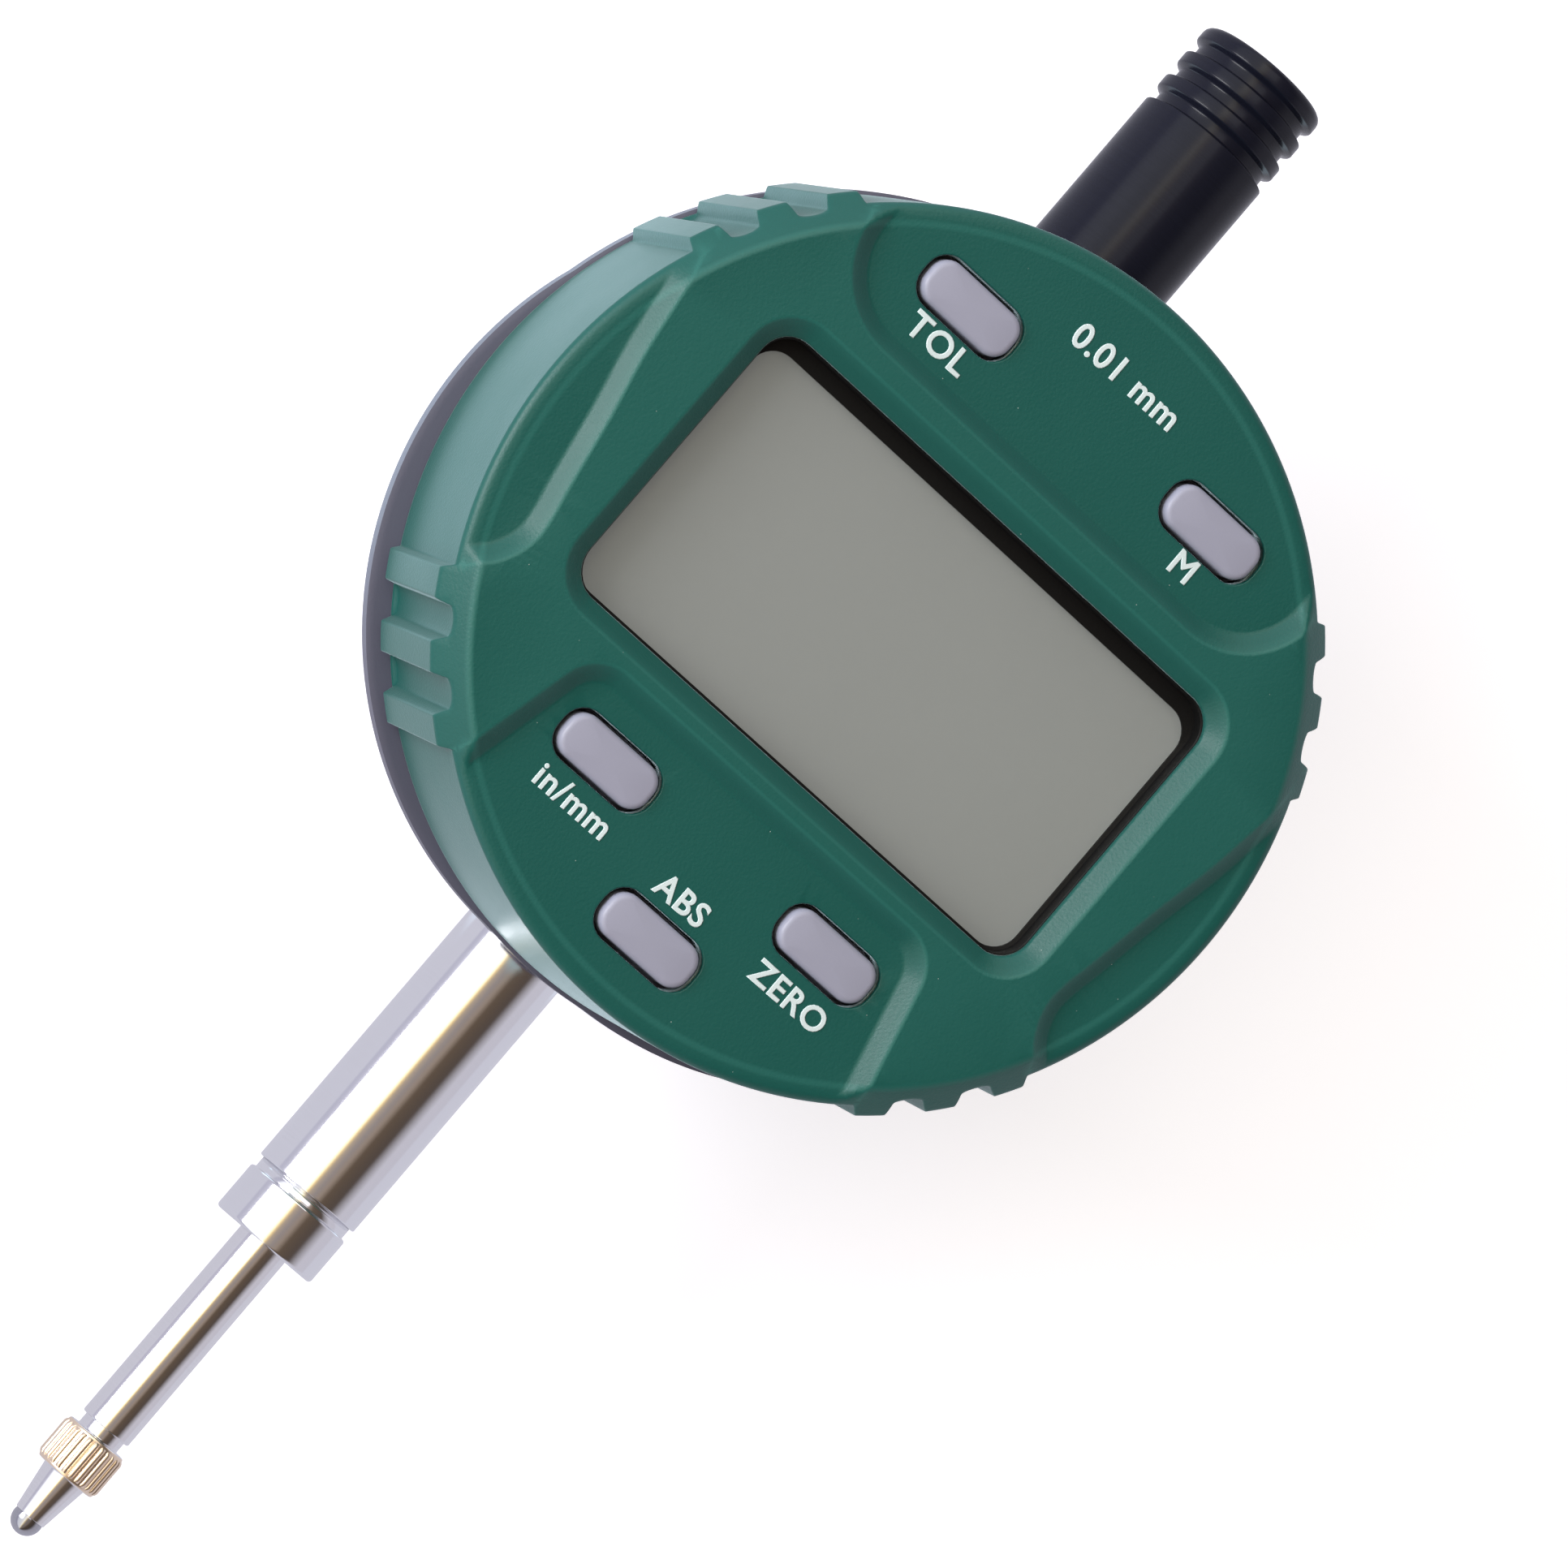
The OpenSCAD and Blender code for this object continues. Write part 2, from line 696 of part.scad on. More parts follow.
module on_board_back() {
    on_face() translate([0, 0, board_front - board_t]) mirror([0, 0, 1]) children();
}

module controller_chip() {
    chip = 10;
    chip_t = 1.4;
    legs = 9;
    pitch = 0.95;
    color("#1a1a1a") on_board_back() translate([2, 10, 0]) {
        translate([-chip / 2, -chip / 2, 0.15]) cube([chip, chip, chip_t]);
        for (turn = [0, 90, 180, 270], k = [0:legs - 1])
            rotate([0, 0, turn]) translate([chip / 2 - eps, (k - (legs - 1) / 2) * pitch - 0.2, 0])
                cube([1, 0.4, 0.3]);
    }
}

module clock_crystal() {
    can_r = 1;
    can_len = 6;
    color("silver") on_board_back() translate([-6, 14, can_r]) rotate([0, -90, 0])
        cylinder(r = can_r, h = can_len, $fn = fine);
}

module board_capacitors() {
    color("#b58a55") on_board_back()
        for (k = [0:5])
            translate([-13 + 3 * k, -13.5, 0]) cube([1.6, 0.8, 0.8]);
}

module dome_switches() {
    color("silver") on_face()
        for (p = button_places)
            translate([p[0], p[1], board_front]) cylinder(r1 = dome_r, r2 = dome_r * 0.6, h = dome_h, $fn = fine);
}

module button(place) {
    flange_top = ceiling - 0.05;
    color("#b2aab4") on_face() translate([place[0], place[1], 0]) {
        translate([0, 0, flange_top - eps]) linear_extrude(panel_front + button_out - flange_top + eps)
            button_outline(0);
        translate([0, 0, flange_top - button_flange_t]) linear_extrude(button_flange_t)
            button_outline(button_flange);
        translate([0, 0, button_rear])
            cylinder(r = plunger_pad_r, h = flange_top - button_rear - eps, $fn = fine);
    }
}

module button_tol() { button(button_places[0]); }
module button_m() { button(button_places[1]); }
module button_in_mm() { button(button_places[2]); }
module button_zero() { button(button_places[3]); }
module button_abs() { button(button_places[4]); }

module stem() {
    color("#d8d8dc") difference() {
        union() {
            translate([0, 0, stem_bottom]) cylinder(r = stem_r, h = stem_seat - stem_bottom);
            translate([0, 0, stem_bottom]) cylinder(r = spigot_r, h = stem_top - stem_bottom);
        }
        translate([0, 0, stem_bottom - 1]) cylinder(r = bush_r, h = stem_top);
        translate([0, 0, stem_bottom - 1]) cylinder(r = nose_thread_r, h = nose_thread_len + 1);
    }
}

module stem_nose() {
    edge = 0.3;
    nose_bore = plunger_fit + 0.65;
    color("#d8d8dc") difference() {
        union() {
            cylinder(r1 = stem_r - edge, r2 = stem_r, h = edge);
            translate([0, 0, edge]) cylinder(r = stem_r, h = nose_len - edge);
            translate([0, 0, nose_len - eps]) cylinder(r = neck_r, h = neck_len + eps);
            translate([0, 0, nose_len]) cylinder(r = nose_thread_r, h = neck_len + nose_thread_len);
        }
        translate([0, 0, -1]) cylinder(r = bush_r, h = wiper_top + 1);
        translate([0, 0, wiper_top - eps]) cylinder(r = nose_bore, h = stem_bottom + nose_thread_len);
    }
}

module wiper_seal() {
    color("#202020") tube(0.2, wiper_top, bush_r, plunger_fit);
}

module nose_bush() {
    color("#b5934a") tube(wiper_top + 1, stem_bottom + nose_thread_len, plunger_fit + 0.65, plunger_fit);
}

module lower_bush() {
    color("#b5934a") tube(stem_top - 12, stem_top - 0.4, bush_r, plunger_fit);
}

module upper_bush() {
    color("#b5934a") tube(boss_high_bottom, upper_bush_top, bush_r, plunger_fit);
}

module cap_nipple() {
    color("#b5934a") tube(upper_bush_top, nipple_top, nipple_r, nipple_bore);
}

// Plain turned cap with three round grooves below its top edge
module dust_cap() {
    edge = 0.5;
    land = groove_pitch * 0.45;
    first = cap_len - edge - land;
    color("#24242a") translate([0, 0, cap_seat]) difference() {
        union() {
            cylinder(r = cap_r, h = cap_len - edge);
            translate([0, 0, cap_len - edge]) cylinder(r1 = cap_r, r2 = cap_r - edge, h = edge);
        }
        for (k = [0:2])
            translate([0, 0, first - k * groove_pitch - (groove_pitch - land) / 2])
                rotate_extrude() translate([cap_r + groove_depth * 0.4, 0]) circle(r = groove_depth * 1.4, $fn = fine);
        translate([0, 0, -1]) cylinder(r = cap_r - cap_wall, h = cap_len - cap_roof + 1);
    }
}

module plunger() {
    edge = 0.25;
    color("#d0d0d4") difference() {
        union() {
            translate([0, 0, plunger_bottom]) cylinder(r = plunger_r, h = plunger_top - edge - plunger_bottom);
            translate([0, 0, plunger_top - edge]) cylinder(r1 = plunger_r, r2 = plunger_r - edge, h = edge);
        }
        translate([0, 0, plunger_bottom - 1]) cylinder(r = point_thread_r, h = point_thread_len + 1.3, $fn = fine);
    }
}

module contact_point() {
    edge = 0.2;
    color("#c8c8cc") difference() {
        union() {
            translate([0, 0, ring_top - eps]) cylinder(r = point_neck_r, h = point_neck_len + eps);
            translate([0, 0, ring_top]) cylinder(r = point_thread_r, h = point_neck_len + point_thread_len, $fn = fine);
            translate([0, 0, ring_bottom + edge]) cylinder(r = ring_r, h = ring_len - 2 * edge);
            translate([0, 0, ring_bottom]) cylinder(r1 = ring_r - edge, r2 = ring_r, h = edge);
            translate([0, 0, ring_top - edge]) cylinder(r1 = ring_r, r2 = ring_r - edge, h = edge);
            translate([0, 0, ball_z + 0.3]) cylinder(r1 = ball_r + 0.07, r2 = cone_r, h = ring_bottom - ball_z - 0.3 + eps);
        }
        translate([0, 0, ball_z]) sphere(r = ball_r);
    }
}

module contact_ball() {
    color("#8f8f95") translate([0, 0, ball_z]) sphere(r = ball_r);
}

module scale_carrier() {
    right = rail_x + 2.2;
    color("#9a9aa0") difference() {
        union() {
            translate([scale_left, -carrier_front, carrier_bottom])
                cube([right - scale_left, carrier_front + carrier_rear, carrier_h]);
            translate([scale_left, -carrier_front, carrier_bottom])
                cube([scale_right - scale_left, plate_t, scale_len]);
        }
        translate([0, 0, carrier_bottom - 1]) cylinder(r = plunger_r, h = carrier_h + 2);
        translate([rail_x, 0, carrier_bottom - 1]) cylinder(r = rail_r + running, h = carrier_h + 2, $fn = fine);
        translate([0, plunger_r - 1, carrier_bottom + carrier_h / 2]) rotate([-90, 0, 0])
            cylinder(r = 1, h = carrier_rear, $fn = fine);
    }
}

module carrier_screw() {
    slot = 0.4;
    color("#303030") translate([0, plunger_r, carrier_bottom + carrier_h / 2]) rotate([-90, 0, 0]) difference() {
        cylinder(r = 0.98, h = carrier_rear - plunger_r - 0.1, $fn = fine);
        translate([-2, -slot / 2, carrier_rear - plunger_r - 0.5]) cube([4, slot, 1]);
    }
}

module encoder_scale() {
    color("#a8c4b0") translate([scale_left, -scale_front, carrier_bottom])
        cube([scale_right - scale_left, scale_t, scale_len]);
}

module reader_board() {
    back = scale_front + reader_gap;
    color("#1d5b33") on_face() difference() {
        translate([reader_x - reader_w / 2, -reader_h / 2, back]) cube([reader_w, reader_h, flange_back - back]);
        for (y = [-1, 1])
            translate([reader_x, y * reader_screw_y, back]) mirror([0, 0, 1])
                screw_sink(1, 0.6, reader_screw_r + 0.02, 3);
    }
}

module reader_screws() {
    back = scale_front + reader_gap;
    color("silver") on_face()
        for (y = [-1, 1])
            translate([reader_x, y * reader_screw_y, back + 0.05]) mirror([0, 0, 1])
                screw(0.95, 0.55, reader_screw_r - 0.02, 2.4);
}

module ribbon_cable() {
    color("#c08a3e") on_face() translate([reader_x - cable_w / 2, -cable_t / 2, flange_back])
        cube([cable_w, cable_t, board_front - board_t - flange_back]);
}

module guide_rail() {
    color("#c8c8cc") translate([rail_x, 0, boss_low_top - rail_seat])
        cylinder(r = rail_r, h = boss_high_bottom - boss_low_top + 2 * rail_seat, $fn = fine);
}

// Compression spring round the plunger, one ring of points for each step of its turns
module return_spring() {
    low = spring_low + spring_wire_r;
    high = spring_high - spring_wire_r;
    rings = spring_turns * spring_steps;
    function ring(i) =
        let (a = 360 * i / spring_steps, z = low + (high - low) * i / rings,
             rise = (high - low) / (2 * PI * spring_mean_r * spring_turns),
             out = [cos(a), sin(a), 0], up = [rise * sin(a), -rise * cos(a), 1] / sqrt(1 + rise * rise))
        [for (j = [0:spring_sides - 1])
            let (b = 360 * j / spring_sides)
            spring_mean_r * out + [0, 0, z] + spring_wire_r * (cos(b) * out + sin(b) * up)];
    points = [for (i = [0:rings]) each ring(i)];
    sides = [
        for (i = [0:rings - 1]) for (j = [0:spring_sides - 1])
            let (n = (j + 1) % spring_sides, p = i * spring_sides, q = p + spring_sides)
            [p + j, q + j, q + n, p + n]
    ];
    start = [for (j = [0:spring_sides - 1]) j];
    end = [for (j = [spring_sides - 1:-1:0]) rings * spring_sides + j];
    color("#b8b8bc") polyhedron(points, concat(sides, [start, end]), 4);
}

module spring_washer() {
    color("silver")
        tube(carrier_bottom + carrier_h, carrier_bottom + carrier_h + washer_t, spring_mean_r + 0.7, plunger_r);
}

module bumper_ring() {
    color("#202020") tube(boss_low_top, boss_low_top + bumper_t, spring_mean_r + 1.4, plunger_r + 0.5);
}

front_housing();
rear_body();
housing_screws();
back_cover();
back_seal();
back_cover_screws();
lug_back();
lug_screws();
battery_cover();
battery_cover_seal();
battery();
battery_holder();
battery_contact_positive();
battery_contact_negative();
window_lens();
display_frame();
display_glass();
zebra_strips();
main_board();
controller_chip();
clock_crystal();
board_capacitors();
dome_switches();
board_screws();
button_tol();
button_m();
button_in_mm();
button_zero();
button_abs();
stem();
stem_nose();
wiper_seal();
nose_bush();
lower_bush();
upper_bush();
cap_nipple();
dust_cap();
plunger();
contact_point();
contact_ball();
scale_carrier();
carrier_screw();
encoder_scale();
reader_board();
reader_screws();
ribbon_cable();
guide_rail();
return_spring();
spring_washer();
bumper_ring();
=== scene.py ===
import json
from math import atan2, ceil, cos, pi, radians, sin, tan

import bmesh
import bpy
import numpy as np
from bpy.props import FloatProperty, FloatVectorProperty, IntProperty, PointerProperty
from mathutils import Matrix, Vector, geometry


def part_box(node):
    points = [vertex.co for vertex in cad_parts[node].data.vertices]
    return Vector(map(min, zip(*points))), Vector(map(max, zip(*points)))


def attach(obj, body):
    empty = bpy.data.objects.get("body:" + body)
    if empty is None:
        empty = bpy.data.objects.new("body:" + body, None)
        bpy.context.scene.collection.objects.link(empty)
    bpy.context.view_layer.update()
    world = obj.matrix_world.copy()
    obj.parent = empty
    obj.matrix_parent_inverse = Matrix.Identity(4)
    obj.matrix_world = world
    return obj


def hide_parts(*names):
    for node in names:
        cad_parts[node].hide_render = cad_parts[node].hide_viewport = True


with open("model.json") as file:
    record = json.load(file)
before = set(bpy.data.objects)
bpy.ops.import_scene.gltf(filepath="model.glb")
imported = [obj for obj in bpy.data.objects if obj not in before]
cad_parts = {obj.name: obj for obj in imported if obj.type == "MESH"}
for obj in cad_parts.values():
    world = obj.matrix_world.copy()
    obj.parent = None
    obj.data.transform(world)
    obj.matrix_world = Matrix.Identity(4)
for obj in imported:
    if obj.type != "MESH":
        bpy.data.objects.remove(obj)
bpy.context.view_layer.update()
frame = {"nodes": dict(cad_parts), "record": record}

bl_info = {
    "name": "Electronic plunger indicator",
    "version": (1, 0, 0),
    "blender": (4, 5, 0),
    "location": "3D View > Sidebar > Indicator",
    "description": "Builds the visible pieces and finishes of an electronic plunger indicator on its frame",
    "category": "Object",
}

MM = 0.001
FULL_TURN = 2 * pi
ON_AXIS = 1e-7
WELD = 1e-7

# Places and sizes that come from the frame, in metres
HOUSING_LOW, HOUSING_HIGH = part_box("front_housing")
REAR_LOW, REAR_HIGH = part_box("rear_body")
COVER_LOW, COVER_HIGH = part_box("back_cover")
HATCH_LOW, HATCH_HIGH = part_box("battery_cover")
LUG_LOW, LUG_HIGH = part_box("lug_back")
STEM_LOW, STEM_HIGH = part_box("stem")
NOSE_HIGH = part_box("stem_nose")[1]
PLUNGER_LOW, PLUNGER_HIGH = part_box("plunger")
POINT_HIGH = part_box("contact_point")[1]
BALL_LOW, BALL_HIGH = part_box("contact_ball")
CAP_LOW, CAP_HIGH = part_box("dust_cap")
FRAME_LOW, FRAME_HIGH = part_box("display_frame")
LENS_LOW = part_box("window_lens")[0]

CASE_Z = (REAR_LOW.z + REAR_HIGH.z) / 2
FLANGE_R = (REAR_HIGH.z - REAR_LOW.z) / 2
CASE_R = HOUSING_HIGH.x
FACE = -HOUSING_LOW.y
SEAM = -REAR_LOW.y
DRUM_REAR = -REAR_HIGH.y
DRUM_R = COVER_HIGH.x
FLANGE_BACK = -5.2 * MM
EAR_R = 26.8 * MM
EAR_SHIFT = 3.6 * MM
EAR_DOWN = radians(34)
STEM_SEAT = CASE_Z - DRUM_R - 0.4 * MM
HATCH_UP = (HATCH_LOW.z + HATCH_HIGH.z) / 2 - CASE_Z
LUG_UP = (LUG_LOW.z + LUG_HIGH.z) / 2 - CASE_Z
LUG_BASE = 1.8 * MM
COVER_SCREW_R = 21.9 * MM
LUG_SCREW_UP = 8.1 * MM
FRONT_WALL = 2.9 * MM
BUTTON_NAMES = ("button_tol", "button_m", "button_in_mm", "button_zero", "button_abs")


def face_point(x, up, front):
    """A point given to the right of, above and in front of the case's centre on the plunger's axis."""
    return Vector((x, -front, CASE_Z + up))


# ---------------------------------------------------------------- settings


class CaseSettings(bpy.types.PropertyGroup):
    """Sizes of the front housing's moulded details"""

    rim_chamfer: FloatProperty(
        name="Rim chamfer", description="Width of the 45 degree chamfer round the face",
        default=1.3 * MM, unit="LENGTH")
    lobe_width: FloatProperty(
        name="Lobe width", description="Width of a grip lobe at half its height",
        default=2.25 * MM, unit="LENGTH")
    lobe_out: FloatProperty(
        name="Lobe height", description="How far a grip lobe stands out from the rim",
        default=0.75 * MM, unit="LENGTH")
    lobe_slope: FloatProperty(
        name="Lobe flank", description="Width over which a grip lobe rises",
        default=0.42 * MM, unit="LENGTH")
    lobe_dip: FloatProperty(
        name="Dip between lobes", description="Depth of the round dip between two lobes",
        default=0.34 * MM, unit="LENGTH")
    lobe_pitch: FloatProperty(
        name="Lobe pitch", description="Angle from one grip lobe to the next",
        default=radians(9.1), subtype="ANGLE")
    grip_up: FloatProperty(
        name="Upper grips", description="Angle of the upper grips above the horizontal",
        default=radians(33.4), subtype="ANGLE")
    grip_down: FloatProperty(
        name="Lower grips", description="Angle of the lower grips below the horizontal",
        default=radians(40.7), subtype="ANGLE")
    panel_depth: FloatProperty(
        name="Panel depth", description="Depth of the recessed key panels and scallops",
        default=0.9 * MM, unit="LENGTH")
    panel_slope: FloatProperty(
        name="Panel slope", description="Width of the slope round a recessed panel",
        default=1.25 * MM, unit="LENGTH")
    scallop_slope: FloatProperty(
        name="Scallop slope", description="Width of the slope along a side scallop",
        default=1.15 * MM, unit="LENGTH")
    bevel_width: FloatProperty(
        name="Window bevel", description="Width of the bevel round the display opening",
        default=1.3 * MM, unit="LENGTH")
    bevel_depth: FloatProperty(
        name="Window bevel depth", description="Depth of the bevel round the display opening",
        default=1.0 * MM, unit="LENGTH")
    softness: FloatProperty(
        name="Edge softness", description="Half width of the rounding of a moulded edge",
        default=0.16 * MM, unit="LENGTH")


class ButtonSettings(bpy.types.PropertyGroup):
    """Sizes of the push buttons"""

    width: FloatProperty(
        name="Width", description="Width of a button", default=7.3 * MM, unit="LENGTH")
    height: FloatProperty(
        name="Height", description="Height of a button", default=3.2 * MM, unit="LENGTH")
    corner: FloatProperty(
        name="Corner", description="Corner radius of a button", default=1.3 * MM, unit="LENGTH")
    gap: FloatProperty(
        name="Gap", description="Gap between a button and its hole", default=0.3 * MM, unit="LENGTH")
    rounding: FloatProperty(
        name="Rounding", description="Radius of a button's front edge", default=0.45 * MM, unit="LENGTH")
    crown: FloatProperty(
        name="Crown", description="How much higher a button is in its middle",
        default=0.12 * MM, unit="LENGTH")


class TurnedSettings(bpy.types.PropertyGroup):
    """Sizes of the turned pieces' details"""

    neck_radius: FloatProperty(
        name="Neck radius", description="Radius in the groove above the nose ring",
        default=3.7 * MM, unit="LENGTH")
    nose_length: FloatProperty(
        name="Nose length", description="Length of the nose ring", default=3.6 * MM, unit="LENGTH")
    flutes: IntProperty(
        name="Flutes", description="Number of ribs round the contact point's ring",
        default=26, min=8, max=48)
    flute_depth: FloatProperty(
        name="Rib height", description="How far a rib stands out of the ring",
        default=0.16 * MM, unit="LENGTH")
    groove_pitch: FloatProperty(
        name="Groove pitch", description="Distance between two of the cap's grooves",
        default=2.05 * MM, unit="LENGTH")
    groove_depth: FloatProperty(
        name="Groove depth", description="Depth of the cap's grooves", default=0.5 * MM, unit="LENGTH")


class FinishSettings(bpy.types.PropertyGroup):
    """Colours of the main finishes"""

    green: FloatVectorProperty(
        name="Case green", description="Colour of the front housing's plastic",
        subtype="COLOR", size=3, min=0, max=1, default=(0.0045, 0.096, 0.080))
    grey: FloatVectorProperty(
        name="Lilac grey", description="Colour of the rear body's plastic",
        subtype="COLOR", size=3, min=0, max=1, default=(0.10, 0.10, 0.145))
    button: FloatVectorProperty(
        name="Button grey", description="Colour of the push buttons",
        subtype="COLOR", size=3, min=0, max=1, default=(0.355, 0.362, 0.465))
    # The display grey also colours the display's painted glow.
    display: FloatVectorProperty(
        name="Display grey", description="Colour of the blank display",
        subtype="COLOR", size=3, min=0, max=1, default=(0.165, 0.175, 0.168))
    anodised: FloatVectorProperty(
        name="Cap black", description="Colour of the dust cap's anodised skin",
        subtype="COLOR", size=3, min=0, max=1, default=(0.009, 0.010, 0.019))
    legend: FloatVectorProperty(
        name="Legend white", description="Colour of the printed legends",
        subtype="COLOR", size=3, min=0, max=1, default=(0.72, 0.84, 0.86))


class CameraSettings(bpy.types.PropertyGroup):
    """Where the camera stands"""

    azimuth: FloatProperty(
        name="Azimuth", description="Angle of the camera to the right of straight in front",
        default=radians(-15.486), subtype="ANGLE")
    elevation: FloatProperty(
        name="Elevation", description="Angle of the camera above the case's centre",
        default=radians(-6.375), subtype="ANGLE")
    roll: FloatProperty(
        name="Roll", description="Turn of the camera about its own view",
        default=radians(-40.503), subtype="ANGLE")
    distance: FloatProperty(
        name="Distance", description="Distance of the camera from the middle of the face",
        default=0.4992, unit="LENGTH")
    lens: FloatProperty(
        name="Lens", description="Focal length in millimetres on a 36 mm sensor", default=181.13)


# ---------------------------------------------------------------- shapes in plain coordinates


def fillet_path(corners, closed=True, steps=5):
    """Points of a path whose corners, given as (u, v, radius), are rounded."""
    points = []
    last = len(corners) - 1
    for i, (u, v, radius) in enumerate(corners):
        here = Vector((u, v))
        if radius <= 0 or (not closed and i in (0, last)):
            points.append(here)
            continue
        to_before = (Vector(corners[i - 1][:2]) - here).normalized()
        to_after = (Vector(corners[(i + 1) % len(corners)][:2]) - here).normalized()
        half = to_before.angle(to_after) / 2
        centre = here + (to_before + to_after).normalized() * (radius / sin(half))
        start = here + to_before * (radius / tan(half)) - centre
        end = here + to_after * (radius / tan(half)) - centre
        sweep = atan2(start.x * end.y - start.y * end.x, start.dot(end))
        for k in range(steps + 1):
            turn = sweep * k / steps
            points.append(centre + Vector((
                start.x * cos(turn) - start.y * sin(turn),
                start.x * sin(turn) + start.y * cos(turn))))
    return points


def rounded_rect(half_width, low, high, corner, steps=8):
    return fillet_path([
        (half_width, low, corner), (half_width, high, corner),
        (-half_width, high, corner), (-half_width, low, corner)], steps=steps)


def shifted(outline, x, z):
    return [Vector((p.x + x, p.y + z)) for p in outline]


def inset(outline, distance):
    """The closed outline, which runs anticlockwise, moved inwards by a distance."""
    moved = []
    count = len(outline)
    for i, here in enumerate(outline):
        a = here - outline[i - 1]
        b = outline[(i + 1) % count] - here
        na = Vector((-a.y, a.x)).normalized()
        nb = Vector((-b.y, b.x)).normalized()
        middle = (na + nb).normalized()
        moved.append(here + middle * (distance / max(middle.dot(na), 0.5)))
    return moved


def signed_depth(points, outline):
    """How deep each point lies inside the closed outline; negative outside."""
    p = np.array([(q[0], q[1]) for q in points])
    a = np.array([(q[0], q[1]) for q in outline])
    b = np.roll(a, -1, axis=0)
    best = np.full(len(p), np.inf)
    inside = np.zeros(len(p), bool)
    for (ax, ay), (bx, by) in zip(a, b):
        dx, dy = bx - ax, by - ay
        length2 = dx * dx + dy * dy
        if length2 == 0:
            continue
        t = np.clip(((p[:, 0] - ax) * dx + (p[:, 1] - ay) * dy) / length2, 0, 1)
        best = np.minimum(best, np.hypot(p[:, 0] - ax - t * dx, p[:, 1] - ay - t * dy))
        crosses = (ay > p[:, 1]) != (by > p[:, 1])
        if dy != 0:
            inside ^= crosses & (p[:, 0] < ax + (p[:, 1] - ay) * dx / dy)
    return np.where(inside, best, -best)


def soft_ramp(depth, width, drop, soft):
    """A slope that falls by drop over width, with both its ends rounded."""
    steep = drop / width
    low = steep * (depth + soft) ** 2 / (4 * soft)
    high = drop - steep * (width + soft - depth) ** 2 / (4 * soft)
    return np.select(
        [depth <= -soft, depth < soft, depth < width - soft, depth < width + soft],
        [0 * depth, low, steep * depth, high], drop + 0 * depth)


def soft_min(a, b, soft):
    near = np.clip(1 - np.abs(a - b) / soft, 0, None)
    return np.minimum(a, b) - near ** 2 * soft / 4


class Shell:
    """Collects the points and faces of one piece."""

    def __init__(self):
        self.points = []
        self.faces = []

    def add(self, points):
        start = len(self.points)
        self.points.extend(points)
        return list(range(start, len(self.points)))

    def place(self, outline, where):
        """Adds a flat outline's points where the function where puts them."""
        return self.add([where(p) for p in outline])

    def bridge(self, ring_a, ring_b):
        count = len(ring_a)
        for i in range(count):
            j = (i + 1) % count
            self.faces.append((ring_a[i], ring_a[j], ring_b[j], ring_b[i]))

    def bridge_all(self, rings):
        for ring_a, ring_b in zip(rings, rings[1:]):
            self.bridge(ring_a, ring_b)

    def fan(self, ring, tip):
        for i in range(len(ring)):
            self.faces.append((ring[i], ring[(i + 1) % len(ring)], tip))


def circle(radius, count, centre=Vector((0, 0))):
    turns = [FULL_TURN * k / count for k in range(count)]
    return [centre + Vector((radius * cos(t), radius * sin(t))) for t in turns]


def quarter_round(radius, steps=4):
    """How far each step of a rounded edge lies inside the edge's side and behind its face."""
    turns = [pi / 2 * k / steps for k in range(1, steps + 1)]
    return [(radius * (1 - sin(t)), radius * (1 - cos(t))) for t in turns]


def upright(y, up=CASE_Z):
    """A function that puts a flat point in the upright plane at y, with the flat zero at height up."""
    return lambda p: Vector((p.x, y, up + p.y))


def sheet(shell, rim, holes, where):
    """Adds the flat face inside rim and outside the holes; returns the numbers of each outline's points."""
    def inside(points):
        ok = signed_depth(points, rim) > 0
        for hole in holes:
            ok &= signed_depth(points, hole) < 0
        return ok

    points, faces, numbers = triangulate([(rim, True)] + [(hole, True) for hole in holes], inside)
    first = len(shell.points)
    shell.place(points, where)
    shell.faces.extend(tuple(i + first for i in face) for face in faces)
    return [[i + first for i in loop] for loop in numbers]


def lathe(path, segments=96, closed=True):
    """Turns a path of (radius, height) points about the plunger's axis."""
    shell = Shell()
    turns = [FULL_TURN * k / segments for k in range(segments)]
    rings = []
    for p in path:
        if p[0] < ON_AXIS:
            rings.append(shell.add([(0.0, 0.0, p[1])]))
        else:
            rings.append(shell.add([(p[0] * cos(t), p[0] * sin(t), p[1]) for t in turns]))
    pairs = list(zip(rings, rings[1:])) + ([(rings[-1], rings[0])] if closed else [])
    for a, b in pairs:
        if len(a) == 1 and len(b) == 1:
            continue
        if len(a) == 1:
            shell.fan(b, a[0])
        elif len(b) == 1:
            shell.fan(a, b[0])
        else:
            shell.bridge(a, b)
    return shell


def triangulate(loops, keep):
    """Triangles between loops of flat points: (all points, triangles, each loop's point numbers)."""
    coords, edges, starts = [], [], []
    for points, closed in loops:
        first = len(coords)
        starts.append((first, len(points)))
        coords.extend(Vector((p[0] / MM, p[1] / MM)) for p in points)
        count = len(points)
        edges.extend((first + i, first + (i + 1) % count) for i in range(count if closed else count - 1))
    found = geometry.delaunay_2d_cdt(coords, edges, [], 0, 1e-5)
    points = [p * MM for p in found[0]]
    number = {}
    for new, olds in enumerate(found[3]):
        for old in olds:
            number[old] = new
    triangles = [f for f in found[2] if len(f) == 3]
    middles = np.array([
        [sum(points[i].x for i in f) / 3, sum(points[i].y for i in f) / 3] for f in triangles])
    kept = [f for f, ok in zip(triangles, keep(middles)) if ok]
    return points, kept, [[number[first + i] for i in range(count)] for first, count in starts]


# ---------------------------------------------------------------- making pieces


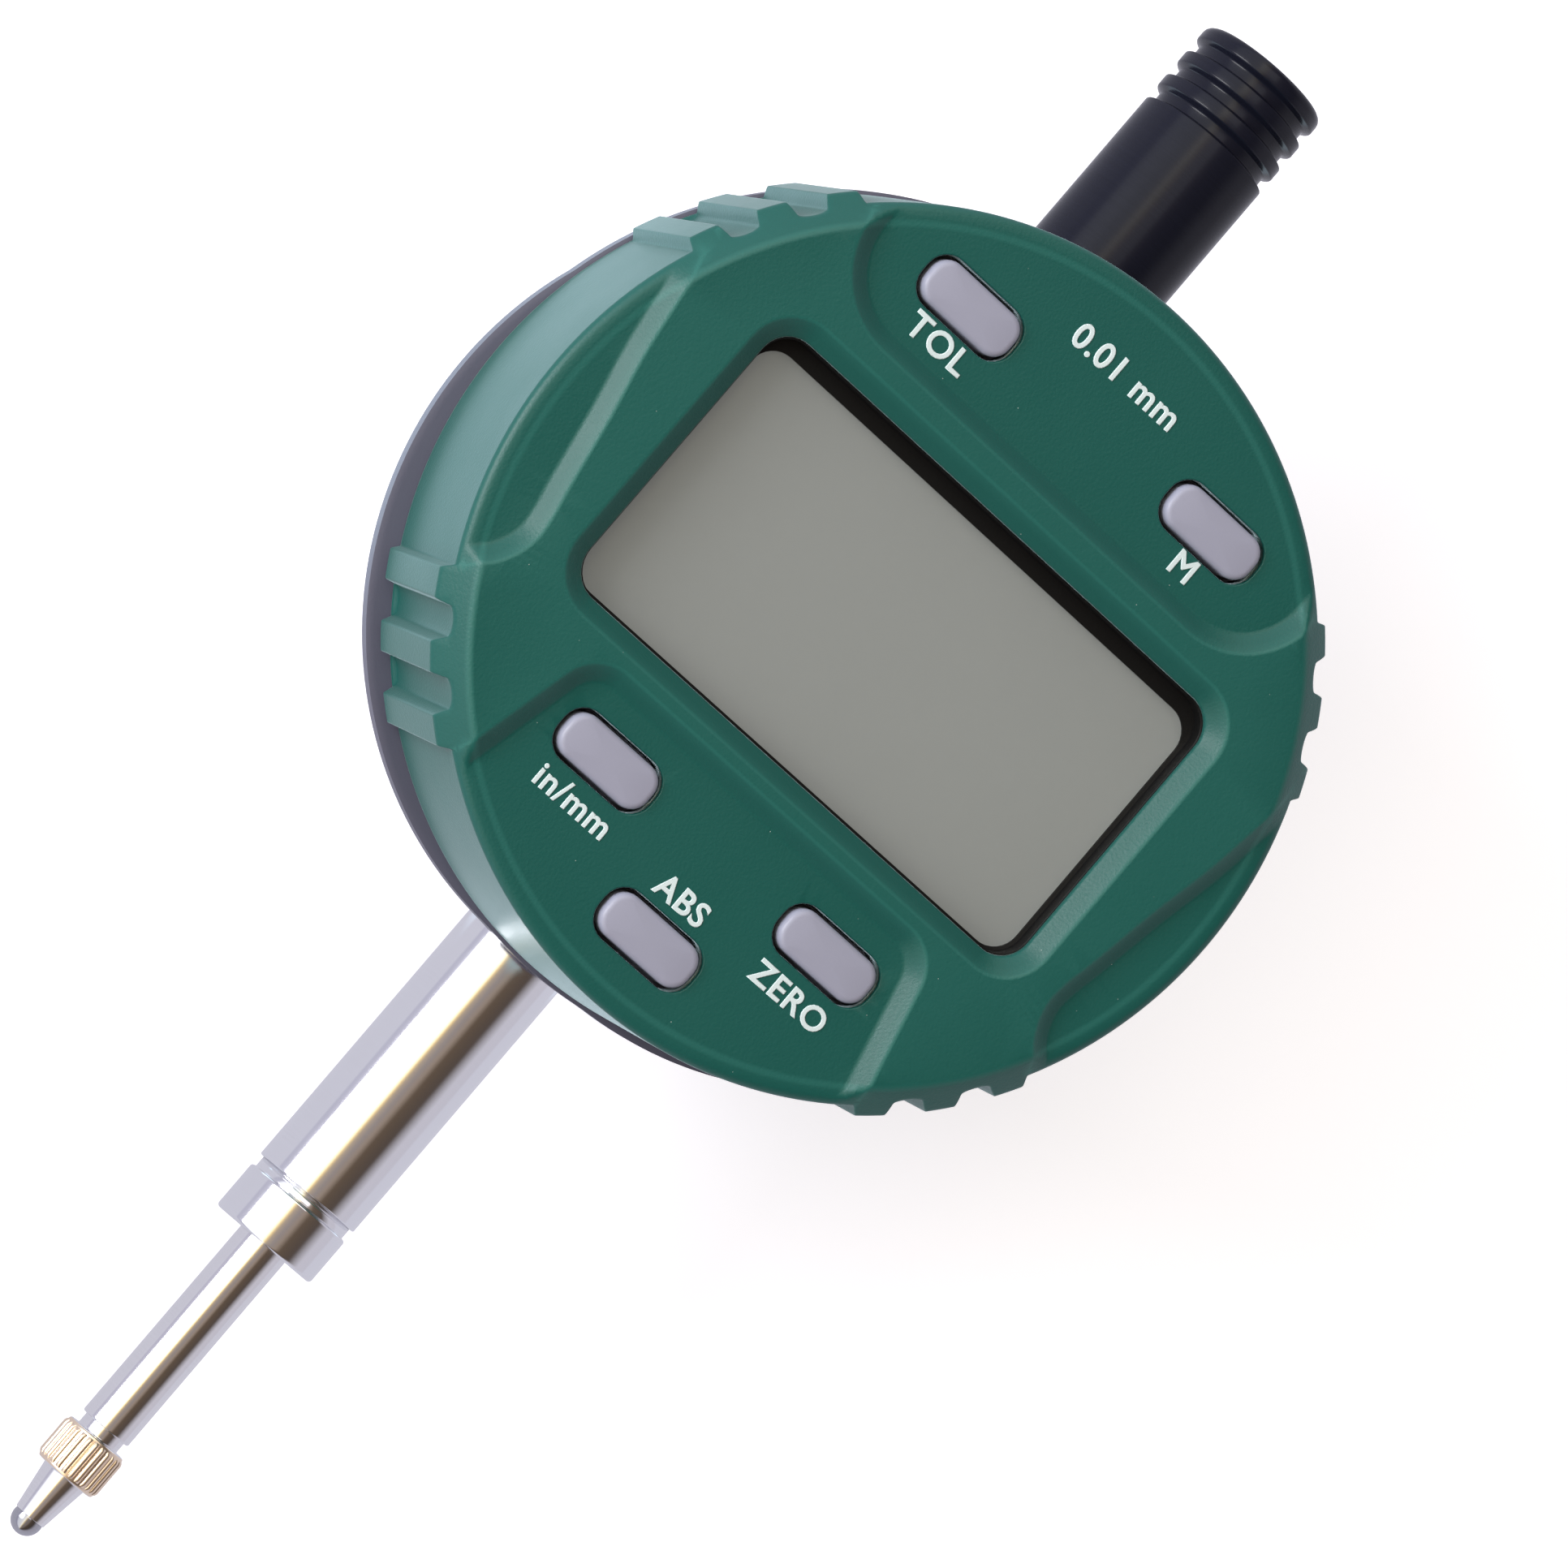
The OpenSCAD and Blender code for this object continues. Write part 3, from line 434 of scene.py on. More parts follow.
def welded_object(name, shell):
    """A mesh object from a shell, with points at the same place made one."""
    mesh = bpy.data.meshes.new(name)
    mesh.from_pydata([tuple(p) for p in shell.points], [], shell.faces)
    bm = bmesh.new()
    bm.from_mesh(mesh)
    bmesh.ops.remove_doubles(bm, verts=bm.verts, dist=WELD)
    loose = [v for v in bm.verts if not v.link_faces]
    bmesh.ops.delete(bm, geom=loose, context="VERTS")
    bmesh.ops.recalc_face_normals(bm, faces=bm.faces)
    bm.to_mesh(mesh)
    bm.free()
    made = bpy.data.objects.new(name, mesh)
    bpy.context.scene.collection.objects.link(made)
    return made


def make_piece(name, shell, material, body, stands_for=(), sharp=None):
    """A finished mesh object from a shell, riding on its body."""
    piece = welded_object(name, shell)
    mesh = piece.data
    mesh.materials.append(material)
    mesh.shade_smooth()
    if sharp:
        mesh.set_sharp_from_angle(angle=sharp)
    weighted = piece.modifiers.new("weighted normals", "WEIGHTED_NORMAL")
    weighted.keep_sharp = True
    weighted.weight = 100
    place_piece(piece, body, stands_for)
    return piece


def place_piece(piece, body, stands_for=()):
    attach(piece, body)
    if stands_for:
        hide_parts(*stands_for)


def joined(*shells):
    """One shell that holds the points and faces of several."""
    whole = Shell()
    for shell in shells:
        start = len(whole.points)
        whole.points.extend(shell.points)
        whole.faces.extend(tuple(i + start for i in f) for f in shell.faces)
    return whole


# ---------------------------------------------------------------- finishes


def new_group(name, inputs, outputs):
    """An empty shader group with its sockets, its input node and its output node."""
    tree = bpy.data.node_groups.new(name, "ShaderNodeTree")
    for label, kind, value in inputs:
        socket = tree.interface.new_socket(label, in_out="INPUT", socket_type=kind)
        socket.default_value = value
    for label, kind in outputs:
        tree.interface.new_socket(label, in_out="OUTPUT", socket_type=kind)
    first = tree.nodes.new("NodeGroupInput")
    last = tree.nodes.new("NodeGroupOutput")
    return tree, first, last


def add_node(tree, kind, values=None, **properties):
    node = tree.nodes.new(kind)
    for key, value in properties.items():
        setattr(node, key, value)
    for key, value in (values or {}).items():
        node.inputs[key].default_value = value
    return node


def math_node(tree, operation, a, b, clamp=False):
    """A math node on two inputs, each a socket or a number."""
    node = add_node(tree, "ShaderNodeMath", operation=operation, use_clamp=clamp)
    for place, value in enumerate((a, b)):
        if isinstance(value, (int, float)):
            node.inputs[place].default_value = value
        else:
            tree.links.new(value, node.inputs[place])
    return node.outputs[0]


def noise_node(tree, vector, scale, detail=2.0):
    node = add_node(tree, "ShaderNodeTexNoise", {"Detail": detail})
    tree.links.new(vector, node.inputs["Vector"])
    if isinstance(scale, (int, float)):
        node.inputs["Scale"].default_value = scale
    else:
        tree.links.new(scale, node.inputs["Scale"])
    return node.outputs["Fac"]


def vary(tree, value, factor, spread):
    """value moved up and down by spread as factor goes from 0 to 1."""
    swing = math_node(tree, "MULTIPLY", math_node(tree, "SUBTRACT", factor, 0.5), spread)
    return math_node(tree, "ADD", value, math_node(tree, "MULTIPLY", swing, 2.0), clamp=True)


def shade(tree, colour, factor, spread):
    """colour made lighter and darker by spread as factor goes from 0 to 1."""
    swing = math_node(tree, "MULTIPLY", math_node(tree, "SUBTRACT", factor, 0.5), spread)
    gain = math_node(tree, "ADD", math_node(tree, "MULTIPLY", swing, 2.0), 1.0)
    scaled = add_node(tree, "ShaderNodeVectorMath", operation="SCALE")
    tree.links.new(colour, scaled.inputs[0])
    tree.links.new(gain, scaled.inputs["Scale"])
    return scaled.outputs[0]


def grain_group():
    """Moulded or painted skin: fine grain, slow mottle and a rubbed look, from place on the piece."""
    tree, first, last = new_group("skin grain", [
        ("Position", "NodeSocketVector", (0, 0, 0)), ("Color", "NodeSocketColor", (0.5, 0.5, 0.5, 1)),
        ("Grain scale", "NodeSocketFloat", 5000), ("Mottle scale", "NodeSocketFloat", 120),
        ("Roughness", "NodeSocketFloat", 0.45), ("Roughness spread", "NodeSocketFloat", 0.08),
        ("Tone spread", "NodeSocketFloat", 0.06)],
        [("Color", "NodeSocketColor"), ("Roughness", "NodeSocketFloat"), ("Height", "NodeSocketFloat")])
    where = first.outputs["Position"]
    fine = noise_node(tree, where, first.outputs["Grain scale"], 3)
    slow = noise_node(tree, where, first.outputs["Mottle scale"], 4)
    mixed = math_node(tree, "ADD", math_node(tree, "MULTIPLY", fine, 0.45),
                      math_node(tree, "MULTIPLY", slow, 0.55))
    tree.links.new(shade(tree, first.outputs["Color"], mixed, first.outputs["Tone spread"]),
                   last.inputs["Color"])
    tree.links.new(vary(tree, first.outputs["Roughness"], slow, first.outputs["Roughness spread"]),
                   last.inputs["Roughness"])
    tree.links.new(fine, last.inputs["Height"])
    return tree


def turned_group():
    """Turned and ground metal: fine rings round the Z axis, with slow changes of tone."""
    tree, first, last = new_group("turned rings", [
        ("Position", "NodeSocketVector", (0, 0, 0)), ("Color", "NodeSocketColor", (0.5, 0.5, 0.5, 1)),
        ("Ring scale", "NodeSocketFloat", 9000), ("Roughness", "NodeSocketFloat", 0.2),
        ("Roughness spread", "NodeSocketFloat", 0.05), ("Tone spread", "NodeSocketFloat", 0.05)],
        [("Color", "NodeSocketColor"), ("Roughness", "NodeSocketFloat"), ("Height", "NodeSocketFloat")])
    flat = add_node(tree, "ShaderNodeVectorMath", operation="MULTIPLY")
    flat.inputs[1].default_value = (0.03, 0.03, 1)
    tree.links.new(first.outputs["Position"], flat.inputs[0])
    rings = noise_node(tree, flat.outputs[0], first.outputs["Ring scale"], 2)
    slow = noise_node(tree, first.outputs["Position"], 260, 3)
    tree.links.new(shade(tree, first.outputs["Color"], rings, first.outputs["Tone spread"]),
                   last.inputs["Color"])
    tree.links.new(vary(tree, first.outputs["Roughness"], slow, first.outputs["Roughness spread"]),
                   last.inputs["Roughness"])
    tree.links.new(rings, last.inputs["Height"])
    return tree


def speck_group():
    """Sparse small specks of dust: 1 on a speck, 0 elsewhere."""
    tree, first, last = new_group("dust specks", [
        ("Position", "NodeSocketVector", (0, 0, 0)), ("Scale", "NodeSocketFloat", 900),
        ("Amount", "NodeSocketFloat", 0.05)], [("Mask", "NodeSocketFloat")])
    cells = add_node(tree, "ShaderNodeTexVoronoi", {"Randomness": 1.0}, feature="F1")
    tree.links.new(first.outputs["Position"], cells.inputs["Vector"])
    tree.links.new(first.outputs["Scale"], cells.inputs["Scale"])
    picked = noise_node(tree, first.outputs["Position"], 700, 1)
    near = math_node(tree, "LESS_THAN", cells.outputs["Distance"], first.outputs["Amount"])
    chosen = math_node(tree, "GREATER_THAN", picked, 0.56)
    tree.links.new(math_node(tree, "MULTIPLY", near, chosen), last.inputs["Mask"])
    return tree


def shared(name, build):
    return bpy.data.node_groups.get(name) or build()


class Finish:
    """One material: a Principled shader with its plain values, and the nodes that feed it."""

    def __init__(self, name, **plain):
        self.material = bpy.data.materials.new(name)
        self.material.use_nodes = True
        self.tree = self.material.node_tree
        self.shader = self.tree.nodes["Principled BSDF"]
        for key, value in plain.items():
            self.shader.inputs[key.replace("_", " ").title().replace("Ior", "IOR")].default_value = value
        self.where = add_node(self.tree, "ShaderNodeTexCoord").outputs["Object"]

    def group(self, tree, **values):
        node = add_node(self.tree, "ShaderNodeGroup")
        node.node_tree = tree
        self.tree.links.new(self.where, node.inputs["Position"])
        for key, value in values.items():
            node.inputs[key.replace("_", " ").capitalize()].default_value = value
        return node

    def feed(self, socket, output):
        self.tree.links.new(output, self.shader.inputs[socket])

    def bump(self, height, distance):
        node = add_node(self.tree, "ShaderNodeBump", {"Distance": distance, "Strength": 1.0})
        self.tree.links.new(height, node.inputs["Height"])
        self.feed("Normal", node.outputs[0])

    def mix(self, factor, a, b):
        node = add_node(self.tree, "ShaderNodeMix", data_type="RGBA")
        for place, value in (("Factor", factor), ("A", a), ("B", b)):
            socket = next(s for s in node.inputs if s.name == place and s.enabled)
            if isinstance(value, (int, float, tuple, list)):
                socket.default_value = value
            else:
                self.tree.links.new(value, socket)
        return next(s for s in node.outputs if s.enabled)


def opaque(colour):
    return (*tuple(colour)[:3], 1.0)


def moulded(name, colour, roughness=0.42, grain=5200, height=0.012 * MM, tone=0.05, dust=0.0,
            spread=0.06, edge=None, **plain):
    """Moulded plastic, paint or rubber with grain; edge is the lighter colour of a painted highlight along
    its moulded edges.
    """
    finish = Finish(name, **plain)
    skin = finish.group(shared("skin grain", grain_group), color=opaque(colour), grain_scale=grain,
                        roughness=roughness, roughness_spread=spread, tone_spread=tone)
    colour_out = skin.outputs["Color"]
    # Painted highlight: the edge point value mixes a lighter colour in along the moulded edges.
    if edge:
        painted_edge_highlight = add_node(finish.tree, "ShaderNodeAttribute", attribute_name="edge")
        colour_out = finish.mix(painted_edge_highlight.outputs["Fac"], colour_out, opaque(edge))
    if dust:
        specks = finish.group(shared("dust specks", speck_group), amount=dust)
        colour_out = finish.mix(specks.outputs["Mask"], colour_out, (0.35, 0.42, 0.4, 1))
    finish.feed("Base Color", colour_out)
    finish.feed("Roughness", skin.outputs["Roughness"])
    finish.bump(skin.outputs["Height"], height)
    return finish.material


def turned(name, colour, roughness=0.15, rings=9000, height=0.002 * MM, tone=0.05, spread=0.04, **plain):
    """Turned, ground or drawn metal."""
    finish = Finish(name, **{"metallic": 1.0, **plain})
    marks = finish.group(shared("turned rings", turned_group), color=opaque(colour), ring_scale=rings,
                         roughness=roughness, roughness_spread=spread, tone_spread=tone)
    finish.feed("Base Color", marks.outputs["Color"])
    finish.feed("Roughness", marks.outputs["Roughness"])
    finish.bump(marks.outputs["Height"], height)
    return finish.material


def clear_window():
    """The clear window over the display, thin enough to let the light through."""
    finish = Finish("clear window", alpha=0.08, ior=1.49, roughness=0.25)
    skin = finish.group(shared("skin grain", grain_group), color=(0.9, 0.92, 0.9, 1), roughness=0.22)
    finish.feed("Base Color", skin.outputs["Color"])
    finish.feed("Roughness", skin.outputs["Roughness"])
    return finish.material


def material_makers():
    """For each of the record's slots, what makes its finish."""
    look = bpy.context.scene.indicator_finish
    return {
        # The case green's edge colour is a painted highlight along its moulded edges.
        "green_plastic": lambda: moulded("case green", look.green, 0.42, height=0.02 * MM, dust=0.03,
                                         edge=[c * 1.7 + 0.02 for c in look.green],
                                         sheen_weight=0.55, sheen_roughness=0.22,
                                         sheen_tint=(0.72, 0.93, 1.0, 1.0), specular_ior_level=0.45),
        "grey_plastic": lambda: moulded("rear grey", look.grey, 0.42),
        "grey_metal": lambda: moulded("lug paint", look.grey, 0.38, grain=3000, height=0.02 * MM),
        "button_plastic": lambda: moulded("key grey", look.button, 0.38, grain=7000, height=0.004 * MM,
                                          tone=0.04),
        "black_plastic": lambda: moulded("black plastic", (0.004, 0.004, 0.004), 0.5,
                                         specular_ior_level=0.2),
        "black_anodised": lambda: turned("black anodised", look.anodised, 0.2, 7000, 0.003 * MM,
                                         tone=0.18, metallic=0.0, specular_ior_level=0.24),
        "chromed_steel": lambda: turned("chromed steel", (0.90, 0.90, 0.92), 0.12, 12000, 0.0006 * MM,
                                        tone=0.02),
        "polished_steel": lambda: turned("polished steel", (0.90, 0.89, 0.90), 0.12, 12000, 0.0006 * MM,
                                         tone=0.03),
        "carbide": lambda: turned("hard metal", (0.50, 0.50, 0.54), 0.16),
        "zinc_screw": lambda: turned("zinc plate", (0.72, 0.72, 0.74), 0.3, tone=0.1),
        "black_steel": lambda: turned("blackened steel", (0.05, 0.05, 0.055), 0.4, tone=0.2),
        "spring_steel": lambda: turned("spring wire", (0.60, 0.60, 0.62), 0.28, tone=0.08),
        "bronze": lambda: turned("turned bronze", (0.62, 0.42, 0.20), 0.3, tone=0.12),
        "gold_contact": lambda: turned("gold plate", (0.86, 0.62, 0.26), 0.25, tone=0.06),
        "black_rubber": lambda: moulded("seal rubber", (0.012, 0.012, 0.013), 0.75, 3500, 0.03 * MM),
        "strip_rubber": lambda: moulded("contact strip", (0.035, 0.035, 0.04), 0.7, 6000, 0.02 * MM, 0.4),
        "battery_steel": lambda: turned("stamped steel", (0.66, 0.66, 0.67), 0.25, tone=0.08),
        "board_green": lambda: moulded("solder mask", (0.015, 0.11, 0.045), 0.3, 1500, 0.02 * MM, 0.2),
        "chip_black": lambda: moulded("moulded epoxy", (0.018, 0.018, 0.018), 0.6, 5000, 0.02 * MM),
        "ceramic_tan": lambda: moulded("ceramic", (0.45, 0.30, 0.16), 0.5, 6000, 0.01 * MM, 0.12),
        # The display's emission is painted light: a faint glow, though it is no lamp, that evens out its
        # shading.
        "display_grey": lambda: moulded("blank display", look.display, 0.34, 3600, 0.006 * MM, 0.05,
                                        spread=0.04, emission_color=opaque(look.display),
                                        emission_strength=0.52),
        "clear_lens": clear_window,
        "scale_glass": lambda: moulded("glass fibre", (0.35, 0.48, 0.40), 0.25, 2600, 0.006 * MM, 0.1),
        "carrier_aluminium": lambda: turned("milled aluminium", (0.62, 0.62, 0.64), 0.32, 5000, tone=0.1),
        "ribbon_amber": lambda: moulded("amber ribbon", (0.48, 0.22, 0.03), 0.25, 2600, 0.004 * MM, 0.1),
    }


def slot_material(slot):
    """The finish of a material slot, made the first time it is asked for."""
    key = "slot " + slot
    if key not in bpy.context.scene:
        bpy.context.scene[key] = material_makers()[slot]().name
    return bpy.data.materials[bpy.context.scene[key]]


def legend_ink():
    look = bpy.context.scene.indicator_finish
    return moulded("legend ink", look.legend, 0.5, 6000, 0.004 * MM, 0.06)


def ribbed_steel():
    """Steel of the contact point: bright, and duller on its ribbed ring, which takes a warm painted
    reflection.
    """
    finish = Finish("ribbed steel", metallic=1.0)
    marks = finish.group(shared("turned rings", turned_group), color=(0.90, 0.89, 0.90, 1),
                         ring_scale=12000, roughness=0.12, roughness_spread=0.04, tone_spread=0.04)
    split = add_node(finish.tree, "ShaderNodeSeparateXYZ")
    finish.tree.links.new(finish.where, split.inputs[0])
    ring_middle = PLUNGER_LOW.z - 2.45 * MM
    off = math_node(finish.tree, "ABSOLUTE", math_node(
        finish.tree, "SUBTRACT", split.outputs["Z"], ring_middle), 0.0)
    ring = math_node(finish.tree, "LESS_THAN", off, 1.6 * MM)
    # The ring's warm peach colour is a painted reflection of the room's warm light.
    finish.feed("Base Color", finish.mix(ring, marks.outputs["Color"], (0.98, 0.80, 0.62, 1)))
    finish.feed("Roughness", math_node(finish.tree, "ADD", marks.outputs["Roughness"], math_node(
        finish.tree, "MULTIPLY", ring, 0.16)))
    finish.bump(marks.outputs["Height"], 0.0006 * MM)
    return finish.material


# ---------------------------------------------------------------- front housing


def rim_radius(angle, case):
    """Outer radius of the front housing at an angle, with its grip lobes."""
    lift = 0.0
    for centre in lobe_angles(case):
        along = abs(atan2(sin(angle - centre), cos(angle - centre))) * CASE_R
        rise = (case.lobe_width / 2 + case.lobe_slope / 2 - along) / case.lobe_slope
        t = min(max(rise, 0.0), 1.0)
        lift = max(lift, t * t * (3 - 2 * t))
    dip = 0.0
    half = (case.lobe_pitch * CASE_R - case.lobe_width - case.lobe_slope) / 2 + 0.12 * MM
    for side in grip_angles(case):
        for k in (-0.5, 0.5):
            centre = side + k * case.lobe_pitch
            along = abs(atan2(sin(angle - centre), cos(angle - centre))) * CASE_R
            dip = max(dip, 1 - (along / half) ** 2)
    return CASE_R + case.lobe_out * lift - case.lobe_dip * dip ** 0.5


def grip_angles(case):
    return case.grip_up, pi - case.grip_up, pi + case.grip_down, -case.grip_down


def lobe_angles(case):
    return [side + k * case.lobe_pitch for side in grip_angles(case) for k in (-1, 0, 1)]


def rim_turns(case):
    """Angles of the rim's points: closer together where a lobe rises."""
    coarse = radians(1.5)
    turns = set(round(k * coarse, 6) for k in range(int(round(FULL_TURN / coarse))))
    reach = case.lobe_pitch / 2
    fine = radians(0.16)
    lobes = lobe_angles(case)
    turns = [t for t in turns
             if all(abs(atan2(sin(t - c), cos(t - c))) > reach + fine for c in lobes)]
    steps = int(ceil(reach / fine))
    for centre in lobes:
        turns.extend((centre + k * reach / steps) % FULL_TURN for k in range(-steps, steps + 1))
    return sorted(turns)


def upper_panel_outline():
    """Edge of the upper key panel at the level of the face; it runs out over the rim."""
    return rounded_rect(19.8 * MM, 14.0 * MM, 60 * MM, 6.2 * MM, steps=14)


def lower_panel_outline():
    """Edge of the lower key panel, whose sides spread towards the rim."""
    slope = 0.245
    reach = 40 * MM
    top, half = -12.0 * MM, 14.9 * MM
    return fillet_path([
        (half + slope * reach, top - reach, 0), (half, top, 3.2 * MM),
        (-half, top, 3.2 * MM), (-half - slope * reach, top - reach, 0)], steps=12)


def scallop_outline(side):
    """Edge of the side scallop: a long lean curve that hooks out to the rim at its lower end."""
    path = (
        (36.0, 14.0), (27.4, 14.0), (26.1, 10.0), (25.15, 4.0), (24.1, -0.8), (23.2, -5.6), (22.7, -8.0),
        (22.6, -9.7), (23.1, -11.4), (24.2, -12.9), (26.4, -14.2), (36.0, -15.0))
    points = [Vector((side * x * MM, z * MM)) for x, z in path]
    curve = []
    for before, a, b, after in zip(points, points[1:], points[2:], points[3:]):
        for k in range(8):
            t = k / 8
            curve.append(0.5 * (2 * a + (b - before) * t + (2 * before - 5 * a + 4 * b - after) * t ** 2
                                + (3 * a - before - 3 * b + after) * t ** 3))
    return [points[0], *curve, points[-2], points[-1]]


def clipped(points, limit):
    """The runs of a closed outline that lie within a radius of the centre."""
    inside = [p.length < limit for p in points]
    if all(inside):
        return [(points, True)]
    if not any(inside):
        return []
    start = next(i for i, ok in enumerate(inside) if not ok)
    runs, run = [], []
    for k in range(1, len(points) + 1):
        i = (start + k) % len(points)
        if inside[i]:
            run.append(points[i])
        elif run:
            runs.append((run, False))
            run = []
    return runs


def dense(points, step):
    """The outline with points added so that none are further apart than step."""
    filled = []
    for a, b in zip(points, points[1:] + points[:1]):
        parts = max(1, int(ceil((b - a).length / step)))
        filled.extend(a + (b - a) * (k / parts) for k in range(parts))
    return filled


def anticlockwise(points):
    area = sum(a.x * b.y - b.x * a.y for a, b in zip(points, points[1:] + points[:1]))
    return points if area > 0 else points[::-1]


def button_outline(centre, grow, button):
    shape = rounded_rect(button.width / 2 + grow, -button.height / 2 - grow,
                         button.height / 2 + grow, button.corner + grow, steps=6)
    return shifted(shape, centre.x, centre.y)


def button_centre(node):
    low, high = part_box(node)
    return Vector(((low.x + high.x) / 2, (low.z + high.z) / 2 - CASE_Z))


def window_outline(grow):
    """Edge of the display opening, grown by a distance."""
    low = -9.85 * MM
    high = 11.25 * MM
    return rounded_rect(19.35 * MM + grow, low - grow, high + grow, 2.2 * MM + grow, steps=10)


def housing_shell(case, button):
    """The front housing: wall with lobes, chamfered rim, recessed panels, and its openings."""
    soft = case.softness
    face_r = CASE_R - case.rim_chamfer
    edge_in = 0.2 * MM
    hole_soft = 0.13 * MM
    ceiling = FACE - FRONT_WALL
    inner_r = CASE_R - 1.8 * MM
    turns = rim_turns(case)
    radii = [rim_radius(t, case) for t in turns]
    window_hole = window_outline(0)
    centres = [button_centre(node) for node in BUTTON_NAMES]
    key_holes = [button_outline(c, button.gap, button) for c in centres]
    slopes = [
        (anticlockwise(dense(upper_panel_outline(), 1.2 * MM)), case.panel_slope, case.panel_depth),
        (anticlockwise(dense(lower_panel_outline(), 1.2 * MM)), case.panel_slope, case.panel_depth),
        (anticlockwise(dense(scallop_outline(1), 0.8 * MM)), case.scallop_slope, case.panel_depth),
        (anticlockwise(dense(scallop_outline(-1), 0.8 * MM)), case.scallop_slope, case.panel_depth)]
    bevel = anticlockwise(dense(window_outline(case.bevel_width), 2 * MM))

    rim = [Vector(((r - edge_in) * cos(t), (r - edge_in) * sin(t))) for r, t in zip(radii, turns)]
    loops = [(rim, True), (window_hole, True)] + [(hole, True) for hole in key_holes]
    circle_turns = [FULL_TURN * k / 300 for k in range(300)]
    for r in (face_r - 2 * soft, face_r - 0.6 * soft, face_r + 0.6 * soft, face_r + 2 * soft):
        loops.append(([Vector((r * cos(t), r * sin(t))) for t in circle_turns], True))
    limit = CASE_R - edge_in - 0.12 * MM
    for outline, width, _ in slopes:
        for depth in (-soft, -0.35 * soft, 0.35 * soft, soft, width / 2,
                      width - soft, width - 0.35 * soft, width + 0.35 * soft, width + soft):
            loops.extend(clipped(inset(outline, depth), limit))
    for depth in (-soft, -0.35 * soft, 0.35 * soft, soft, case.bevel_width / 2,
                  case.bevel_width - 2 * hole_soft):
        loops.append((inset(bevel, depth), True))
    for depth in (0.35 * hole_soft, hole_soft):
        loops.append((inset(anticlockwise(window_hole), -depth), True))
        loops.extend((inset(hole, -depth), True) for hole in key_holes)
    panel_ring = face_r + case.panel_depth
    for r in (panel_ring - soft, panel_ring, panel_ring + 0.8 * soft):
        ring = [Vector((r * cos(t), r * sin(t))) for t in circle_turns]
        loops.append((ring, True))

    rim_array = np.array(radii) - edge_in

    def inside_housing(points):
        turn = np.mod(np.arctan2(points[:, 1], points[:, 0]), FULL_TURN)
        reach = np.interp(turn, turns, rim_array, period=FULL_TURN)
        ok = np.hypot(points[:, 0], points[:, 1]) < reach
        for hole in [window_hole, *key_holes]:
            ok &= signed_depth(points, hole) < 0
        return ok

    flat, triangles, numbers = triangulate(loops, inside_housing)
    xy = np.array([(p.x, p.y) for p in flat])
    radius = np.hypot(xy[:, 0], xy[:, 1])
    level = np.full(len(xy), FACE)
    # painted_edge_highlight: how near each point lies to a moulded edge, where the finish paints a lighter
    # highlight line.
    painted_edge_highlight = np.zeros(len(xy))
    for outline, width, drop in slopes:
        depth = signed_depth(xy, outline)
        level -= soft_ramp(depth, width, drop, soft)
        painted_edge_highlight = np.maximum(painted_edge_highlight, np.clip(1 - np.abs(depth) / (1.4 * soft), 0, 1))
    depth = signed_depth(xy, bevel)
    level -= soft_ramp(depth, case.bevel_width, case.bevel_depth, soft)
    painted_edge_highlight = np.maximum(painted_edge_highlight, np.clip(1 - np.abs(depth) / (1.4 * soft), 0, 1))
    cone = FACE - (radius - face_r)
    painted_edge_highlight = np.maximum(painted_edge_highlight, np.clip(1 - np.abs(radius - face_r) / (1.6 * soft), 0, 1))
    level = soft_min(level, cone, 2 * soft)
    for hole in [window_hole, *key_holes]:
        away = np.clip(-signed_depth(xy, hole), 0, hole_soft)
        level -= hole_soft - np.sqrt(np.clip(hole_soft ** 2 - (hole_soft - away) ** 2, 0, None))
    shell = Shell()
    shell.add([face_point(p.x, p.y, h) for p, h in zip(flat, level)])
    shell.faces.extend(triangles)

    # rounded outer edge and the wall down to the seam
    rim_top = numbers[0]
    top_level = [level[i] for i in rim_top]
    below = [top - edge_in for top in top_level]
    wall = [rim_top]
    for t in (0.25, 0.5, 0.75, 1.0):
        ring = []
        for r, turn, top, corner in zip(radii, turns, top_level, below):
            away = (1 - t) ** 2 * (r - edge_in) + (1 - (1 - t) ** 2) * r
            height = (1 - t ** 2) * corner + t ** 2 * (corner - 0.25 * MM) + (1 - t) ** 2 * (top - corner)
            ring.append(face_point(away * cos(turn), away * sin(turn), height))
        wall.append(shell.add(ring))
    lobe_foot = SEAM + 0.4 * MM
    for height, share, pull in (
            (lobe_foot + 0.35 * MM, 1.0, 0.0), (lobe_foot + 0.15 * MM, 0.8, 0.0),
            (lobe_foot, 0.35, 0.0), (lobe_foot - 0.12 * MM, 0.0, 0.0), (SEAM + 0.12 * MM, 0.0, 0.0),
            (SEAM + 0.03 * MM, 0.0, 0.06 * MM), (SEAM, 0.0, 0.16 * MM)):
        ring = []
        for r, turn in zip(radii, turns):
            away = CASE_R + (r - CASE_R) * share - pull
            ring.append(face_point(away * cos(turn), away * sin(turn), height))
        wall.append(shell.add(ring))
    for height in (SEAM, ceiling):
        wall.append(shell.add([face_point(inner_r * cos(t), inner_r * sin(t), height) for t in turns]))
    shell.bridge_all(wall)

    # underside of the front wall, and the walls of its openings
    under_rim = [Vector((inner_r * cos(t), inner_r * sin(t))) for t in turns]
    holes = [window_hole, *key_holes]

    def inside_ceiling(points):
        ok = signed_depth(points, under_rim) > 0
        for hole in holes:
            ok &= signed_depth(points, hole) < 0
        return ok

    under, under_faces, under_numbers = triangulate(
        [(under_rim, True)] + [(hole, True) for hole in holes], inside_ceiling)
    first = len(shell.points)
    shell.add([face_point(p.x, p.y, ceiling) for p in under])
    shell.faces.extend(tuple(i + first for i in f) for f in under_faces)
    for k in range(len(holes)):
        shell.bridge(numbers[1 + k], [i + first for i in under_numbers[1 + k]])
    return shell, painted_edge_highlight


